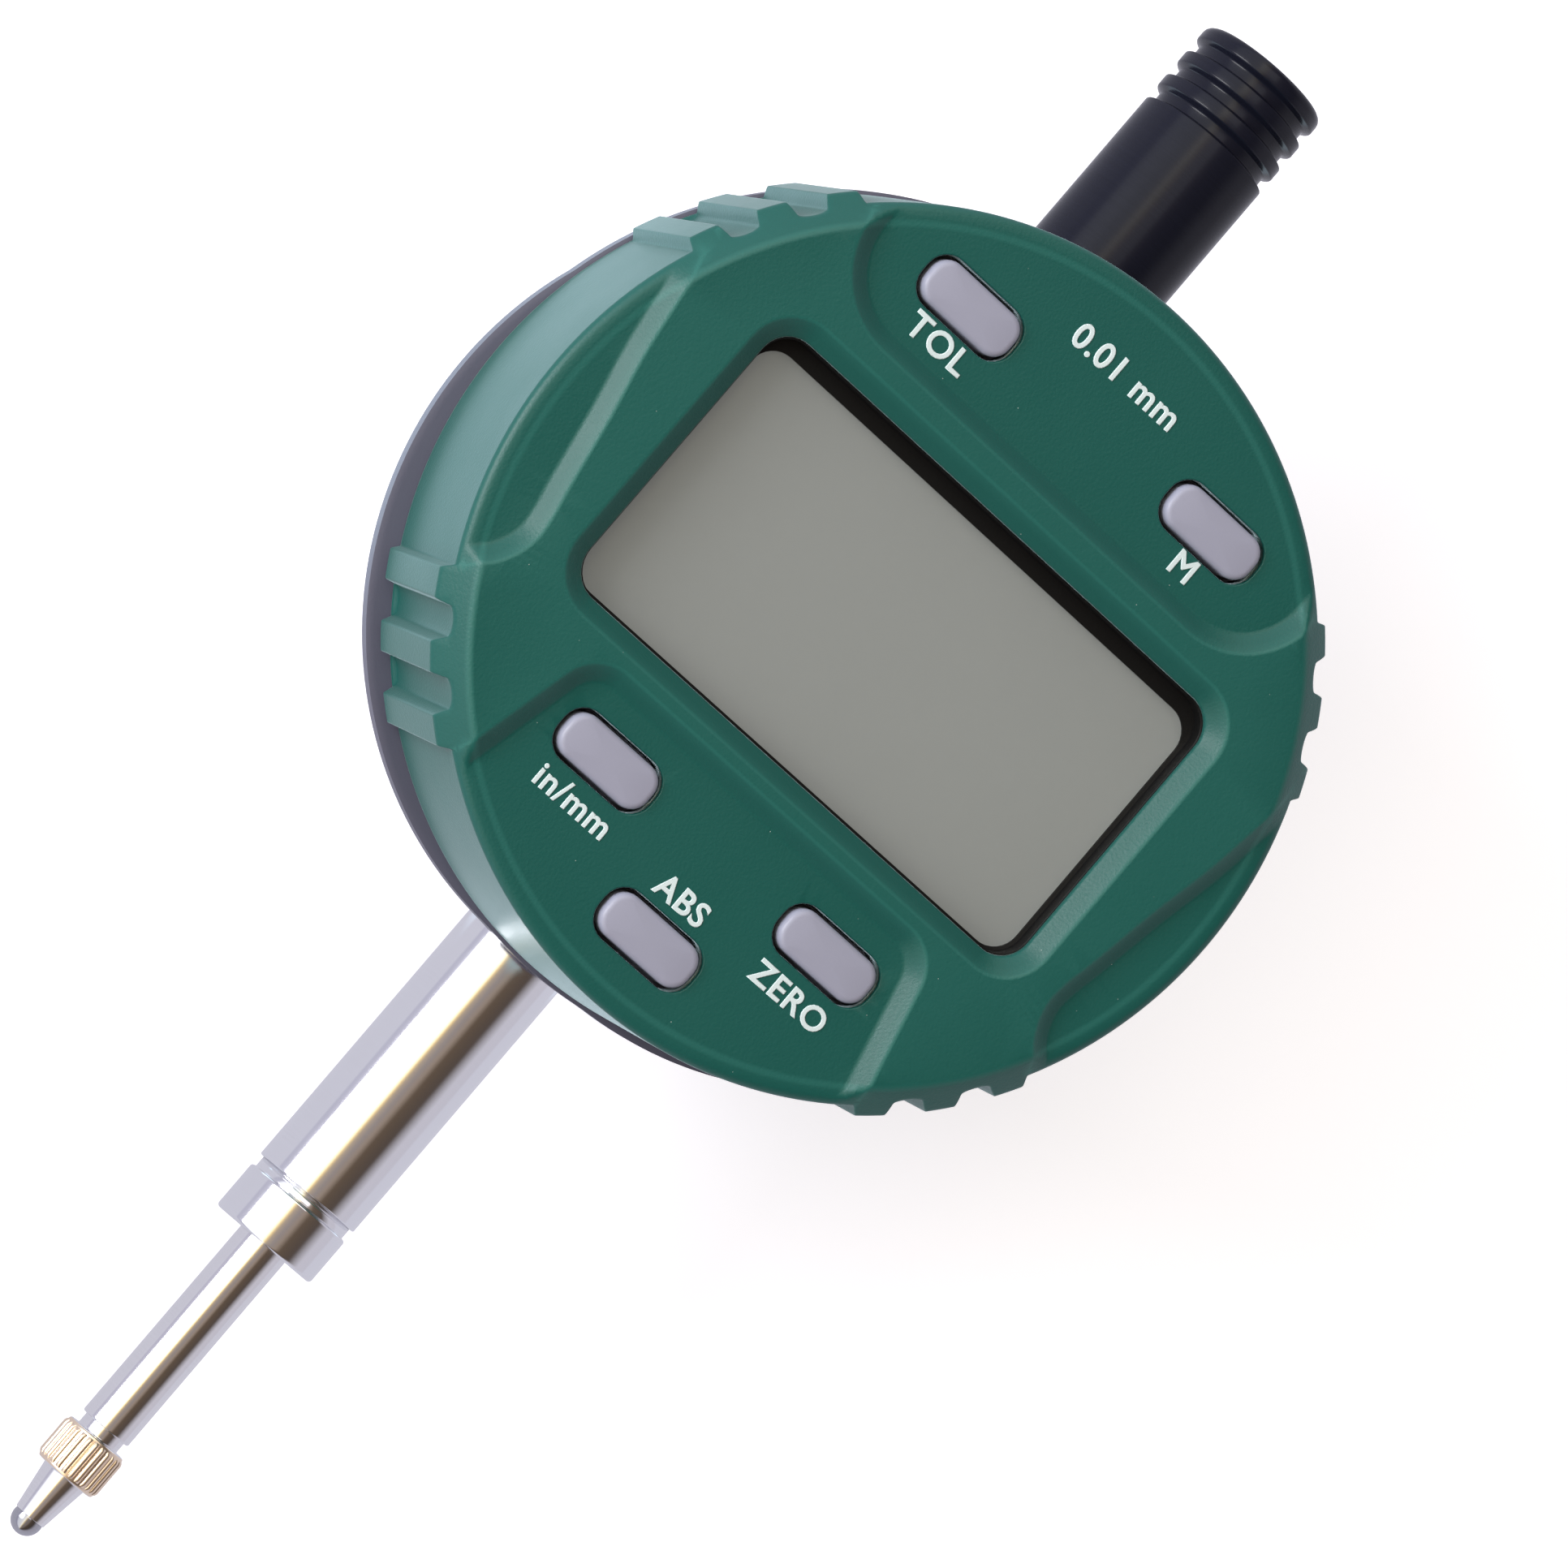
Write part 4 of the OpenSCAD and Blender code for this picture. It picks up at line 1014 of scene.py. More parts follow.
class INDICATOR_OT_front_housing(bpy.types.Operator):
    """Build the green front housing"""

    bl_idname = "indicator.front_housing"
    bl_label = "Front housing"

    def execute(self, context):
        shell, painted_edge_highlight = housing_shell(context.scene.indicator_case, context.scene.indicator_button)
        places = {tuple(round(c / MM, 4) for c in p): w for p, w in zip(shell.points, painted_edge_highlight)}
        piece = make_piece("front_housing_shell", shell, slot_material("green_plastic"),
                           "case", ["front_housing"])
        # The edge point value carries the painted highlight along the moulded edges.
        edge = piece.data.attributes.new("edge", "FLOAT", "POINT")
        for vertex, value in zip(piece.data.vertices, edge.data):
            value.value = 0.55 * places.get(tuple(round(c / MM, 4) for c in vertex.co), 0.0)
        return {"FINISHED"}


# ---------------------------------------------------------------- buttons and legends


def button_shell(node, button):
    """A push button: flange behind the wall, straight sides, rounded front edge and low crown."""
    low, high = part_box(node)
    centre = button_centre(node)
    front, back = -low.y, -high.y
    ceiling = FACE - FRONT_WALL
    flange_grow = (high.x - low.x - button.width) / 2
    rise = button.rounding
    top = front - button.crown
    shell = Shell()
    steps = 6
    rings = [
        (flange_grow - 0.1 * MM, ceiling - 0.85 * MM), (flange_grow, ceiling - 0.75 * MM),
        (flange_grow, ceiling - 0.15 * MM), (flange_grow - 0.1 * MM, ceiling - 0.05 * MM),
        (0, ceiling - 0.04 * MM), (0, top - rise)]
    for k in range(1, steps + 1):
        turn = pi / 2 * k / steps
        rings.append((-rise * (1 - cos(turn)), top - rise * (1 - sin(turn))))
    placed = []
    for grow, height in rings:
        outline = button_outline(centre, grow, button)
        placed.append(shell.add([face_point(p.x, p.y, height) for p in outline]))
    shell.bridge_all(placed)
    last_grow = rings[-1][0]
    outline = button_outline(centre, last_grow, button)
    for share, lift in ((0.8, 0.45), (0.55, 0.8), (0.3, 0.95)):
        ring = [centre + (p - centre) * share for p in outline]
        placed.append(shell.add([face_point(p.x, p.y, top + button.crown * lift) for p in ring]))
        shell.bridge(placed[-2], placed[-1])
    tip = shell.add([face_point(centre.x, centre.y, top + button.crown)])[0]
    shell.fan(placed[-1], tip)

    # the peg behind the flange that presses the dome
    back_ring = [centre + (p - centre) * 0.3 for p in button_outline(centre, flange_grow, button)]
    middle = shell.add([face_point(p.x, p.y, ceiling - 0.85 * MM) for p in back_ring])
    shell.bridge(placed[0], middle)
    end = shell.add([face_point(p.x, p.y, back) for p in back_ring])
    shell.bridge(middle, end)
    tail = shell.add([face_point(centre.x, centre.y, back)])[0]
    shell.fan(end, tail)
    return shell


class INDICATOR_OT_buttons(bpy.types.Operator):
    """Build the five push buttons"""

    bl_idname = "indicator.buttons"
    bl_label = "Push buttons"

    def execute(self, context):
        for node in BUTTON_NAMES:
            shell = button_shell(node, context.scene.indicator_button)
            body = node.replace("button_", "key_")
            make_piece(node + "_cap", shell, slot_material("button_plastic"),
                       body, [node])
        return {"FINISHED"}


# Each legend: its words, the middle of its width, its foot and its capital height on the face
LEGENDS = (
    ("legend_tol", "TOL", -10.95 * MM, 16.05 * MM, 1.75 * MM),
    ("legend_m", "M", 10.9 * MM, 16.2 * MM, 1.75 * MM),
    ("legend_in_mm", "in/mm", -9.6 * MM, -20.95 * MM, 1.65 * MM),
    ("legend_abs", "ABS", 0.0, -21.05 * MM, 1.65 * MM),
    ("legend_zero", "ZERO", 9.5 * MM, -21.15 * MM, 1.65 * MM),
    ("legend_step", "0.01 mm", -0.15 * MM, 22.7 * MM, 1.75 * MM),
)


def legend_piece(name, words, middle, foot, capital, ink):
    """Printed words as a thin raised layer on the face's panels, with its foot inside the wall."""
    text = bpy.data.curves.new(name, "FONT")
    text.body = words
    text.align_x = "CENTER"
    text.space_character = 1.07
    text.extrude = 0.006
    text.bevel_depth = 0.024
    text.bevel_resolution = 1
    text.resolution_u = 5
    holder = bpy.data.objects.new(name, text)
    bpy.context.scene.collection.objects.link(holder)
    bpy.context.view_layer.update()
    mesh = bpy.data.meshes.new_from_object(holder.evaluated_get(bpy.context.evaluated_depsgraph_get()))
    bpy.data.objects.remove(holder)
    scale = capital / CAPITAL_HEIGHT
    level = FACE - bpy.context.scene.indicator_case.panel_depth
    bm = bmesh.new()
    bm.from_mesh(mesh)
    bmesh.ops.remove_doubles(bm, verts=bm.verts, dist=1e-5)
    for v in bm.verts:
        v.co = face_point(middle + v.co.x * scale, foot + v.co.y * scale, level + v.co.z * scale)
    bmesh.ops.recalc_face_normals(bm, faces=bm.faces)
    bm.to_mesh(mesh)
    bm.free()
    mesh.name = name
    mesh.materials.clear()
    mesh.materials.append(ink)
    piece = bpy.data.objects.new(name, mesh)
    bpy.context.scene.collection.objects.link(piece)
    place_piece(piece, "case")
    return piece


CAPITAL_HEIGHT = 0.729


class INDICATOR_OT_legends(bpy.types.Operator):
    """Print the plain words beside the buttons"""

    bl_idname = "indicator.legends"
    bl_label = "Legends"

    def execute(self, context):
        ink = legend_ink()
        for row in LEGENDS:
            legend_piece(*row, ink)
        return {"FINISHED"}


# ---------------------------------------------------------------- display


def display_frame_shell():
    """The black frame behind the display opening, with its lips over the glass."""
    half = FRAME_HIGH.x
    bottom, top = FRAME_LOW.z - CASE_Z, FRAME_HIGH.z - CASE_Z
    corner = 2.9 * MM
    front, back = -FRAME_LOW.y, -FRAME_HIGH.y
    lens_front = -LENS_LOW.y
    lip = 0.25 * MM
    lip_top = 1.05 * MM
    wall = 0.8 * MM
    soft = 0.06 * MM
    outer = [rounded_rect(half - e, bottom + e, top - e, corner) for e in (0.0, soft)]
    hole = rounded_rect(half - wall, bottom + wall, top - wall, 2.2 * MM)
    edge = rounded_rect(half - wall - lip, bottom + wall + lip, top - wall - lip_top, 1.9 * MM)
    inner = rounded_rect(half - wall + lip, bottom + wall - lip, top - wall + lip, 2.2 * MM)
    shell = Shell()
    rows = [
        (outer[1], back), (outer[0], back + soft), (outer[0], front - soft), (outer[1], front),
        (rounded_rect(half - wall + soft, bottom + wall - soft, top - wall + soft, 2.2 * MM), front),
        (hole, front - soft), (hole, lens_front + 0.3 * MM), (edge, lens_front + 0.24 * MM),
        (edge, lens_front + 0.01 * MM), (inner, lens_front + 0.01 * MM), (inner, back)]
    rings = [shell.add([face_point(p.x, p.y, h) for p in outline]) for outline, h in rows]
    for a, b in zip(rings, rings[1:] + rings[:1]):
        shell.bridge(a, b)
    return shell


class INDICATOR_OT_display(bpy.types.Operator):
    """Build the display's black frame"""

    bl_idname = "indicator.display"
    bl_label = "Display"

    def execute(self, context):
        make_piece("display_bezel", display_frame_shell(), slot_material("black_plastic"),
                   "case", ["display_frame"], sharp=radians(40))
        return {"FINISHED"}


# ---------------------------------------------------------------- rear of the case


def flange_reach(turn):
    """Outer radius of the rear body's flange at an angle: round, and wider behind the lower grips."""
    reach = FLANGE_R
    for centre in (-EAR_DOWN, pi + EAR_DOWN):
        across = EAR_SHIFT * sin(turn - centre)
        reach = max(reach, EAR_SHIFT * cos(turn - centre) + (EAR_R ** 2 - across ** 2) ** 0.5)
    return reach


def rear_body_shell():
    """The rear body: flange, drum, and the flat seats for the stem and the cap."""
    wall = 1.6 * MM
    lip = 0.05 * MM
    soft = 0.3 * MM
    flange = [(-0.5 * MM - lip, -SEAM), (-lip, -SEAM + 0.15 * MM), (-lip, FLANGE_BACK - soft),
              (-0.3 * soft, FLANGE_BACK - 0.3 * soft), (-soft - lip, FLANGE_BACK)]
    drum = fillet_path([
        (DRUM_R + 2 * MM, FLANGE_BACK, 0.0), (DRUM_R, FLANGE_BACK, 1.0 * MM),
        (DRUM_R, -DRUM_REAR, 0.3 * MM), (DRUM_R - wall, -DRUM_REAR, 0.1 * MM),
        (DRUM_R - wall, FLANGE_BACK, 0.3 * MM), (0.0, FLANGE_BACK, 0.0)], closed=False)
    turns = [FULL_TURN * k / 240 for k in range(240)]
    shell = Shell()

    def ring(radii, y):
        return shell.add([(r * cos(t), y, CASE_Z + r * sin(t)) for r, t in zip(radii, turns)])

    front_tip = shell.add([(0.0, -SEAM, CASE_Z)])[0]
    rings = [ring([CASE_R - 2 * MM] * len(turns), -SEAM)]
    rings += [ring([flange_reach(t) + pull for t in turns], y) for pull, y in flange]
    rings += [ring([p.x] * len(turns), p.y) for p in drum[:-1]]
    rear_tip = shell.add([(0.0, FLANGE_BACK, CASE_Z)])[0]
    shell.fan(rings[0], front_tip)
    shell.bridge_all(rings)
    shell.fan(rings[-1], rear_tip)
    seats = []
    for radius, tip, root in (
            (STEM_HIGH.x + 0.6 * MM, STEM_SEAT, CASE_Z - DRUM_R + 1.5 * MM),
            (CAP_HIGH.x, CAP_LOW.z, CASE_Z + DRUM_R - 1.5 * MM)):
        seats.append(lathe(fillet_path([
            (0.0, tip, 0), (radius, tip, 0.15 * MM), (radius, root, 0), (0.0, root, 0)],
            closed=False, steps=4), 96, False))
    return shell, seats


def cover_shell():
    """The back cover: a disc with a rounded edge and a round seat for the battery cover."""
    rear, front = COVER_HIGH.y, COVER_LOW.y
    hatch_r = HATCH_HIGH.x
    hatch = Vector((0.0, HATCH_UP))
    seat_front = HATCH_LOW.y - 0.2 * MM
    bore = hatch_r - 0.6 * MM
    hole_r = hatch_r + 0.1 * MM
    sink_r, shank_r, sink_depth = 1.75 * MM, 1.0 * MM, 1.1 * MM
    screws = [Vector((COVER_SCREW_R * cos(a), COVER_SCREW_R * sin(a)))
              for a in (pi / 4 + k * pi / 2 for k in range(4))]
    holes_rear = [circle(hole_r + 0.1 * MM, 96, hatch)] + [circle(sink_r, 32, c) for c in screws]
    holes_front = [circle(bore, 96, hatch)] + [circle(shank_r, 32, c) for c in screws]
    shell = Shell()

    def ring(radius, count, centre, y):
        return shell.place(circle(radius, count, centre), upright(y))

    soft = 0.35 * MM
    middle = Vector((0, 0))
    rear_loops = sheet(shell, circle(COVER_HIGH.x - soft, 192), holes_rear, upright(rear))
    front_loops = sheet(shell, circle(COVER_HIGH.x - 0.1 * MM, 192), holes_front, upright(front))
    edge = [ring(COVER_HIGH.x - pull, 192, middle, rear - drop) for pull, drop in quarter_round(soft)]
    edge.append(ring(COVER_HIGH.x, 192, middle, front + 0.1 * MM))
    shell.bridge_all([rear_loops[0], *edge, front_loops[0]])
    seat = [ring(radius, 96, hatch, y) for radius, y in (
        (hole_r, rear - 0.1 * MM), (hole_r, seat_front), (bore, seat_front))]
    shell.bridge_all([rear_loops[1], *seat, front_loops[1]])
    for centre, rear_loop, front_loop in zip(screws, rear_loops[2:], front_loops[2:]):
        shell.bridge_all([rear_loop, ring(shank_r, 32, centre, rear - sink_depth), front_loop])
    return shell


def hatch_shell():
    """The battery cover: a disc with a rounded edge and a coin slot."""
    rear, front = HATCH_HIGH.y, HATCH_LOW.y
    radius = HATCH_HIGH.x
    centre = Vector((0.0, HATCH_UP))
    slot_depth = 0.4 * MM
    slot = fillet_path([
        (4.5 * MM, -0.7 * MM, 0.65 * MM), (4.5 * MM, 0.7 * MM, 0.65 * MM),
        (-4.5 * MM, 0.7 * MM, 0.65 * MM), (-4.5 * MM, -0.7 * MM, 0.65 * MM)], steps=6)
    slot = shifted(slot, centre.x, centre.y)

    shell = Shell()
    soft = 0.12 * MM
    sunk = 0.12 * MM
    dish = circle(radius - 1.6 * MM, 96, centre)
    face_loops = sheet(shell, dish, [slot], upright(rear - sunk))
    floor = sheet(shell, slot, [], upright(rear - slot_depth))
    shell.bridge(face_loops[1], floor[0])
    back = sheet(shell, circle(radius - 0.05 * MM, 96, centre), [], upright(front))
    rings = [shell.place(circle(r, 96, centre), upright(y)) for r, y in (
        (radius - 1.2 * MM, rear), (radius - soft, rear), (radius - 0.3 * soft, rear - 0.3 * soft),
        (radius, rear - soft), (radius, front + 0.05 * MM))]
    shell.bridge_all([face_loops[0], *rings, back[0]])
    return shell


def lug_shell():
    """The lug: base plate and a blade with a round end and a cross hole."""
    base_back, base_front = COVER_HIGH.y + LUG_BASE, COVER_HIGH.y
    up = CASE_Z + LUG_UP
    base_half = LUG_HIGH.x
    base_reach = (LUG_HIGH.z - LUG_LOW.z) / 2
    blade_half = 3.2 * MM
    end_r = 6.5 * MM
    hole_r = 3.25 * MM
    hole_y = LUG_HIGH.y - end_r
    soft = 0.35 * MM
    sink_r, shank_r = 1.6 * MM, 0.8 * MM
    base = Shell()
    screws = [Vector((0, LUG_SCREW_UP)), Vector((0, -LUG_SCREW_UP))]

    def plate(shrink):
        return rounded_rect(base_half - shrink, -base_reach + shrink, base_reach - shrink,
                            3 * MM - shrink)

    rear_loops = sheet(base, plate(soft), [circle(sink_r, 32, c) for c in screws], upright(base_back, up))
    front_loops = sheet(base, plate(0), [circle(shank_r, 32, c) for c in screws], upright(base_front, up))
    edge = [base.place(plate(pull), upright(base_back - drop, up)) for pull, drop in quarter_round(soft)]
    base.bridge_all([rear_loops[0], *edge, front_loops[0]])
    for centre, rear_loop, front_loop in zip(screws, rear_loops[1:], front_loops[1:]):
        neck = base.place(circle(shank_r, 32, centre), upright(base_back - 1.0 * MM, up))
        base.bridge_all([rear_loop, neck, front_loop])

    # the blade's side outline, as (y, z) points, with its hole
    blade = Shell()
    root = base_back - 0.2 * MM

    def side(shrink):
        reach = end_r - shrink
        points = [Vector((root, -reach))]
        points += [Vector((hole_y + reach * cos(t), reach * sin(t)))
                   for t in (-pi / 2 + pi * k / 40 for k in range(41))]
        points.append(Vector((root, reach)))
        return points

    def across(x):
        return lambda p: Vector((x, p.x, up + p.y))

    hole = Vector((hole_y, 0))
    mouth = 0.3 * MM
    right, left = [sheet(blade, side(soft), [circle(hole_r + mouth, 64, hole)], across(x))
                   for x in (blade_half, -blade_half)]
    outer, inner = [right[0]], [right[1]]
    for pull, drop in quarter_round(soft):
        outer.append(blade.place(side(pull), across(blade_half - drop)))
    inner.append(blade.place(circle(hole_r, 64, hole), across(blade_half - mouth)))
    for pull, drop in reversed(quarter_round(soft)):
        outer.append(blade.place(side(pull), across(-blade_half + drop)))
    inner.append(blade.place(circle(hole_r, 64, hole), across(-blade_half + mouth)))
    blade.bridge_all([*outer, left[0]])
    blade.bridge_all([*inner, left[1]])
    return base, blade


class INDICATOR_OT_rear_case(bpy.types.Operator):
    """Build the rear body, the back cover, the battery cover and the lug"""

    bl_idname = "indicator.rear_case"
    bl_label = "Rear of the case"

    def execute(self, context):
        grey = slot_material("grey_plastic")
        body, seats = rear_body_shell()
        make_piece("rear_case", joined(body, *seats), grey, "case", ["rear_body"],
                   sharp=radians(50))
        make_piece("rear_cover", cover_shell(), grey, "case", ["back_cover"],
                   sharp=radians(40))
        make_piece("battery_door", hatch_shell(), grey, "hatch", ["battery_cover"],
                   sharp=radians(40))
        base, blade = lug_shell()
        make_piece("lug", joined(base, blade), slot_material("grey_metal"), "case",
                   ["lug_back"], sharp=radians(40))
        return {"FINISHED"}


# ---------------------------------------------------------------- screws


def screw_shell(head_r, head_h, shank_r, length):
    """A cross-slotted screw whose head faces +Y, with its head's top at y = 0."""
    slot = head_r * 0.16
    reach = head_r * 0.62
    cross = []
    for k in range(4):
        turn = k * pi / 2
        for along, across in ((reach, -slot), (reach, slot), (slot, slot)):
            cross.append(Vector((along * cos(turn) - across * sin(turn),
                                 along * sin(turn) + across * cos(turn))))
    shell = Shell()

    def ring(points, y):
        return shell.place(points, upright(y, 0.0))

    soft = 0.08 * MM
    rim, socket = sheet(shell, circle(head_r - soft, 32), [cross], upright(0.0, 0.0))
    depth = head_h * 0.6
    foot = ring([p * 0.7 for p in cross], -depth)
    shell.bridge(socket, foot)
    shell.fan(foot, shell.add([Vector((0, -depth, 0))])[0])
    rings = [ring(circle(radius, 32), y) for radius, y in (
        (head_r, -soft), (shank_r, -head_h), (shank_r, -length + 0.2 * MM), (shank_r * 0.7, -length))]
    shell.bridge_all([rim, *rings])
    shell.fan(rings[-1], shell.add([Vector((0, -length, 0))])[0])
    return shell


def screws_tree():
    """Geometry Nodes: a screw at each point, each turned about its own axis by chance."""
    tree = bpy.data.node_groups.new("screws on points", "GeometryNodeTree")
    for label, kind in (("Places", "NodeSocketGeometry"), ("Screw", "NodeSocketObject"),
                        ("Seed", "NodeSocketInt"), ("Finish", "NodeSocketMaterial")):
        tree.interface.new_socket(label, in_out="INPUT", socket_type=kind)
    tree.interface.new_socket("Screws", in_out="OUTPUT", socket_type="NodeSocketGeometry")
    nodes, links = tree.nodes, tree.links
    first = nodes.new("NodeGroupInput")
    last = nodes.new("NodeGroupOutput")
    info = nodes.new("GeometryNodeObjectInfo")
    links.new(first.outputs["Screw"], info.inputs["Object"])
    chance = nodes.new("FunctionNodeRandomValue")
    chance.data_type = "FLOAT"
    low = next(s for s in chance.inputs if s.name == "Min" and s.enabled)
    high = next(s for s in chance.inputs if s.name == "Max" and s.enabled)
    low.default_value, high.default_value = 0.0, FULL_TURN
    links.new(first.outputs["Seed"], chance.inputs["Seed"])
    turn = nodes.new("ShaderNodeCombineXYZ")
    links.new(next(s for s in chance.outputs if s.enabled), turn.inputs["Y"])
    spread = nodes.new("GeometryNodeInstanceOnPoints")
    links.new(first.outputs["Places"], spread.inputs["Points"])
    links.new(info.outputs["Geometry"], spread.inputs["Instance"])
    links.new(turn.outputs[0], spread.inputs["Rotation"])
    real = nodes.new("GeometryNodeRealizeInstances")
    links.new(spread.outputs[0], real.inputs[0])
    painted = nodes.new("GeometryNodeSetMaterial")
    links.new(real.outputs[0], painted.inputs["Geometry"])
    links.new(first.outputs["Finish"], painted.inputs["Material"])
    links.new(painted.outputs[0], last.inputs[0])
    return tree


def tree_input(tree, label):
    return next(item.identifier for item in tree.interface.items_tree
                if item.item_type == "SOCKET" and item.in_out == "INPUT" and item.name == label)


def from_tree(name, start, tree, values, body, stands_for=()):
    """A plain mesh piece from a Geometry Nodes tree run on a start mesh."""
    carrier = bpy.data.objects.new(name + " maker", start)
    bpy.context.scene.collection.objects.link(carrier)
    modifier = carrier.modifiers.new(tree.name, "NODES")
    modifier.node_group = tree
    for label, value in values.items():
        modifier[tree_input(tree, label)] = value
    carrier.update_tag()
    bpy.context.view_layer.update()
    graph = bpy.context.evaluated_depsgraph_get()
    mesh = bpy.data.meshes.new_from_object(carrier.evaluated_get(graph))
    mesh.name = name
    carrier.modifiers.remove(modifier)
    bpy.data.objects.remove(carrier)
    piece = bpy.data.objects.new(name, mesh)
    bpy.context.scene.collection.objects.link(piece)
    mesh.shade_smooth()
    mesh.set_sharp_from_angle(angle=radians(35))
    place_piece(piece, body, stands_for)
    return piece


def points_mesh(name, points):
    mesh = bpy.data.meshes.new(name)
    mesh.from_pydata([tuple(p) for p in points], [], [])
    return mesh


def around_case(radius, angles, y):
    return [Vector((radius * cos(a), y, CASE_Z + radius * sin(a))) for a in angles]


class INDICATOR_OT_screws(bpy.types.Operator):
    """Set the screws of the flange, the back cover and the lug"""

    bl_idname = "indicator.screws"
    bl_label = "Screws"

    def execute(self, context):
        tree = screws_tree()
        zinc = slot_material("zinc_screw")
        cover_rear = COVER_HIGH.y
        flange_places = around_case((DRUM_R + FLANGE_R) / 2 - 0.45 * MM,
                                    [radians(a) for a in (66, 114, 246, 294)], FLANGE_BACK - 0.05 * MM)
        cover_places = around_case(COVER_SCREW_R, [pi / 4 + k * pi / 2 for k in range(4)],
                                   cover_rear - 0.05 * MM)
        lug_places = [Vector((0, cover_rear + LUG_BASE - 0.05 * MM, CASE_Z + LUG_UP + side * LUG_SCREW_UP))
                      for side in (-1, 1)]
        sets = (
            ("flange_screws", "housing_screws", flange_places, (1.35, 1.05, 0.78, 6.0), 3),
            ("cover_screws", "back_cover_screws", cover_places, (1.7, 1.05, 0.78, 6.5), 7),
            ("lug_fixing_screws", "lug_screws", lug_places, (1.55, 0.95, 0.78, 3.4), 11))
        for name, node, places, sizes, seed in sets:
            screw = welded_object(name + " one", screw_shell(*(s * MM for s in sizes)))
            from_tree(name, points_mesh(name + " places", places), tree,
                      {"Screw": screw, "Seed": seed, "Finish": zinc}, "case", [node])
            bpy.data.objects.remove(screw)
        return {"FINISHED"}


# ---------------------------------------------------------------- stem, plunger and cap


def stem_shell():
    """The clamping stem: a ground tube with a softened lower edge."""
    radius = STEM_HIGH.x
    low, high = STEM_LOW.z, STEM_HIGH.z
    seat = STEM_SEAT
    bore = radius - 1 * MM
    thread = radius - 0.7 * MM
    path = fillet_path([
        (thread, low, 0.0), (radius, low, 0.12 * MM), (radius, seat, 0.1 * MM),
        (radius - 0.3 * MM, seat, 0.0), (radius - 0.3 * MM, high, 0.1 * MM), (bore, high, 0.1 * MM),
        (bore, low + 4 * MM, 0.0), (thread, low + 4 * MM, 0.0)])
    return lathe(path, 128)


def nose_shell(turned_sizes):
    """The nose ring: bevelled both ends, a narrow neck above and a mouth below."""
    radius = NOSE_HIGH.x
    length = turned_sizes.nose_length
    neck = turned_sizes.neck_radius
    top = STEM_LOW.z
    thread = radius - 0.72 * MM
    mouth = radius - 0.95 * MM
    bore = PLUNGER_HIGH.x + 0.75 * MM
    path = fillet_path([
        (mouth, 0.0, 0.15 * MM), (radius, 0.0, 0.28 * MM), (radius, length, 0.22 * MM),
        (neck, length, 0.08 * MM), (neck, top, 0.0), (thread, top, 0.0), (thread, NOSE_HIGH.z, 0.1 * MM),
        (bore, NOSE_HIGH.z, 0.0), (bore, 2.0 * MM, 0.0), (mouth, 2.0 * MM, 0.0)])
    return lathe(path, 128)


class INDICATOR_OT_stem(bpy.types.Operator):
    """Turn the stem and its nose ring"""

    bl_idname = "indicator.stem"
    bl_label = "Stem and nose"

    def execute(self, context):
        chrome = slot_material("chromed_steel")
        make_piece("stem_tube", stem_shell(), chrome, "case", ["stem"])
        make_piece("nose_ring", nose_shell(context.scene.indicator_turned), chrome, "case",
                   ["stem_nose"])
        return {"FINISHED"}


def plunger_shell():
    """The plunger: a ground rod with softened ends."""
    radius = PLUNGER_HIGH.x
    return lathe(fillet_path([
        (0.0, PLUNGER_LOW.z, 0), (radius, PLUNGER_LOW.z, 0.15 * MM),
        (radius, PLUNGER_HIGH.z, 0.25 * MM), (0.0, PLUNGER_HIGH.z, 0)], closed=False), 96, False)


def point_core_shell(turned_sizes):
    """The contact point without its ribs: neck, ring, and the cone down to the ball."""
    top = PLUNGER_LOW.z + 0.02 * MM
    ring_top = PLUNGER_LOW.z - 0.8 * MM
    ring_r = POINT_HIGH.x
    ball_z = (BALL_LOW.z + BALL_HIGH.z) / 2
    ring_bottom = ball_z + 3.7 * MM
    core = ring_r - turned_sizes.flute_depth
    return lathe(fillet_path([
        (0.0, top, 0), (1.6 * MM, top, 0), (1.6 * MM, ring_top, 0.12 * MM), (core, ring_top, 0.2 * MM),
        (core, ring_bottom, 0.2 * MM), (1.65 * MM, ring_bottom, 0.08 * MM),
        (BALL_HIGH.x + 0.05 * MM, ball_z + 0.25 * MM, 0.06 * MM), (0.0, ball_z + 0.25 * MM, 0)],
        closed=False), 96, False)


def rib_shell(turned_sizes):
    """One rib of the contact point's ring, on the +X side: half round, with bevelled ends."""
    ring_top = PLUNGER_LOW.z - 0.8 * MM - 0.22 * MM
    ring_bottom = (BALL_LOW.z + BALL_HIGH.z) / 2 + 3.7 * MM + 0.22 * MM
    ring_r = POINT_HIGH.x
    deep = turned_sizes.flute_depth
    half = pi * ring_r / turned_sizes.flutes * 0.72
    root = ring_r - deep - 0.05 * MM
    steps = 8

    def outline(shrink):
        points = [(root, -half)]
        for k in range(steps + 1):
            turn = -pi / 2 + pi * k / steps
            points.append((root + (deep + 0.05 * MM - shrink) * cos(turn), half * sin(turn)))
        points.append((root, half))
        return points

    shell = Shell()
    rows = ((0.9 * deep, ring_bottom), (0.35 * deep, ring_bottom + 0.1 * MM), (0, ring_bottom + 0.25 * MM),
            (0, ring_top - 0.25 * MM), (0.35 * deep, ring_top - 0.1 * MM), (0.9 * deep, ring_top))
    rings = [shell.add([(x, y, z) for x, y in outline(shrink)]) for shrink, z in rows]
    shell.bridge_all(rings)
    shell.faces.append(tuple(rings[0]))
    shell.faces.append(tuple(rings[-1]))
    return shell


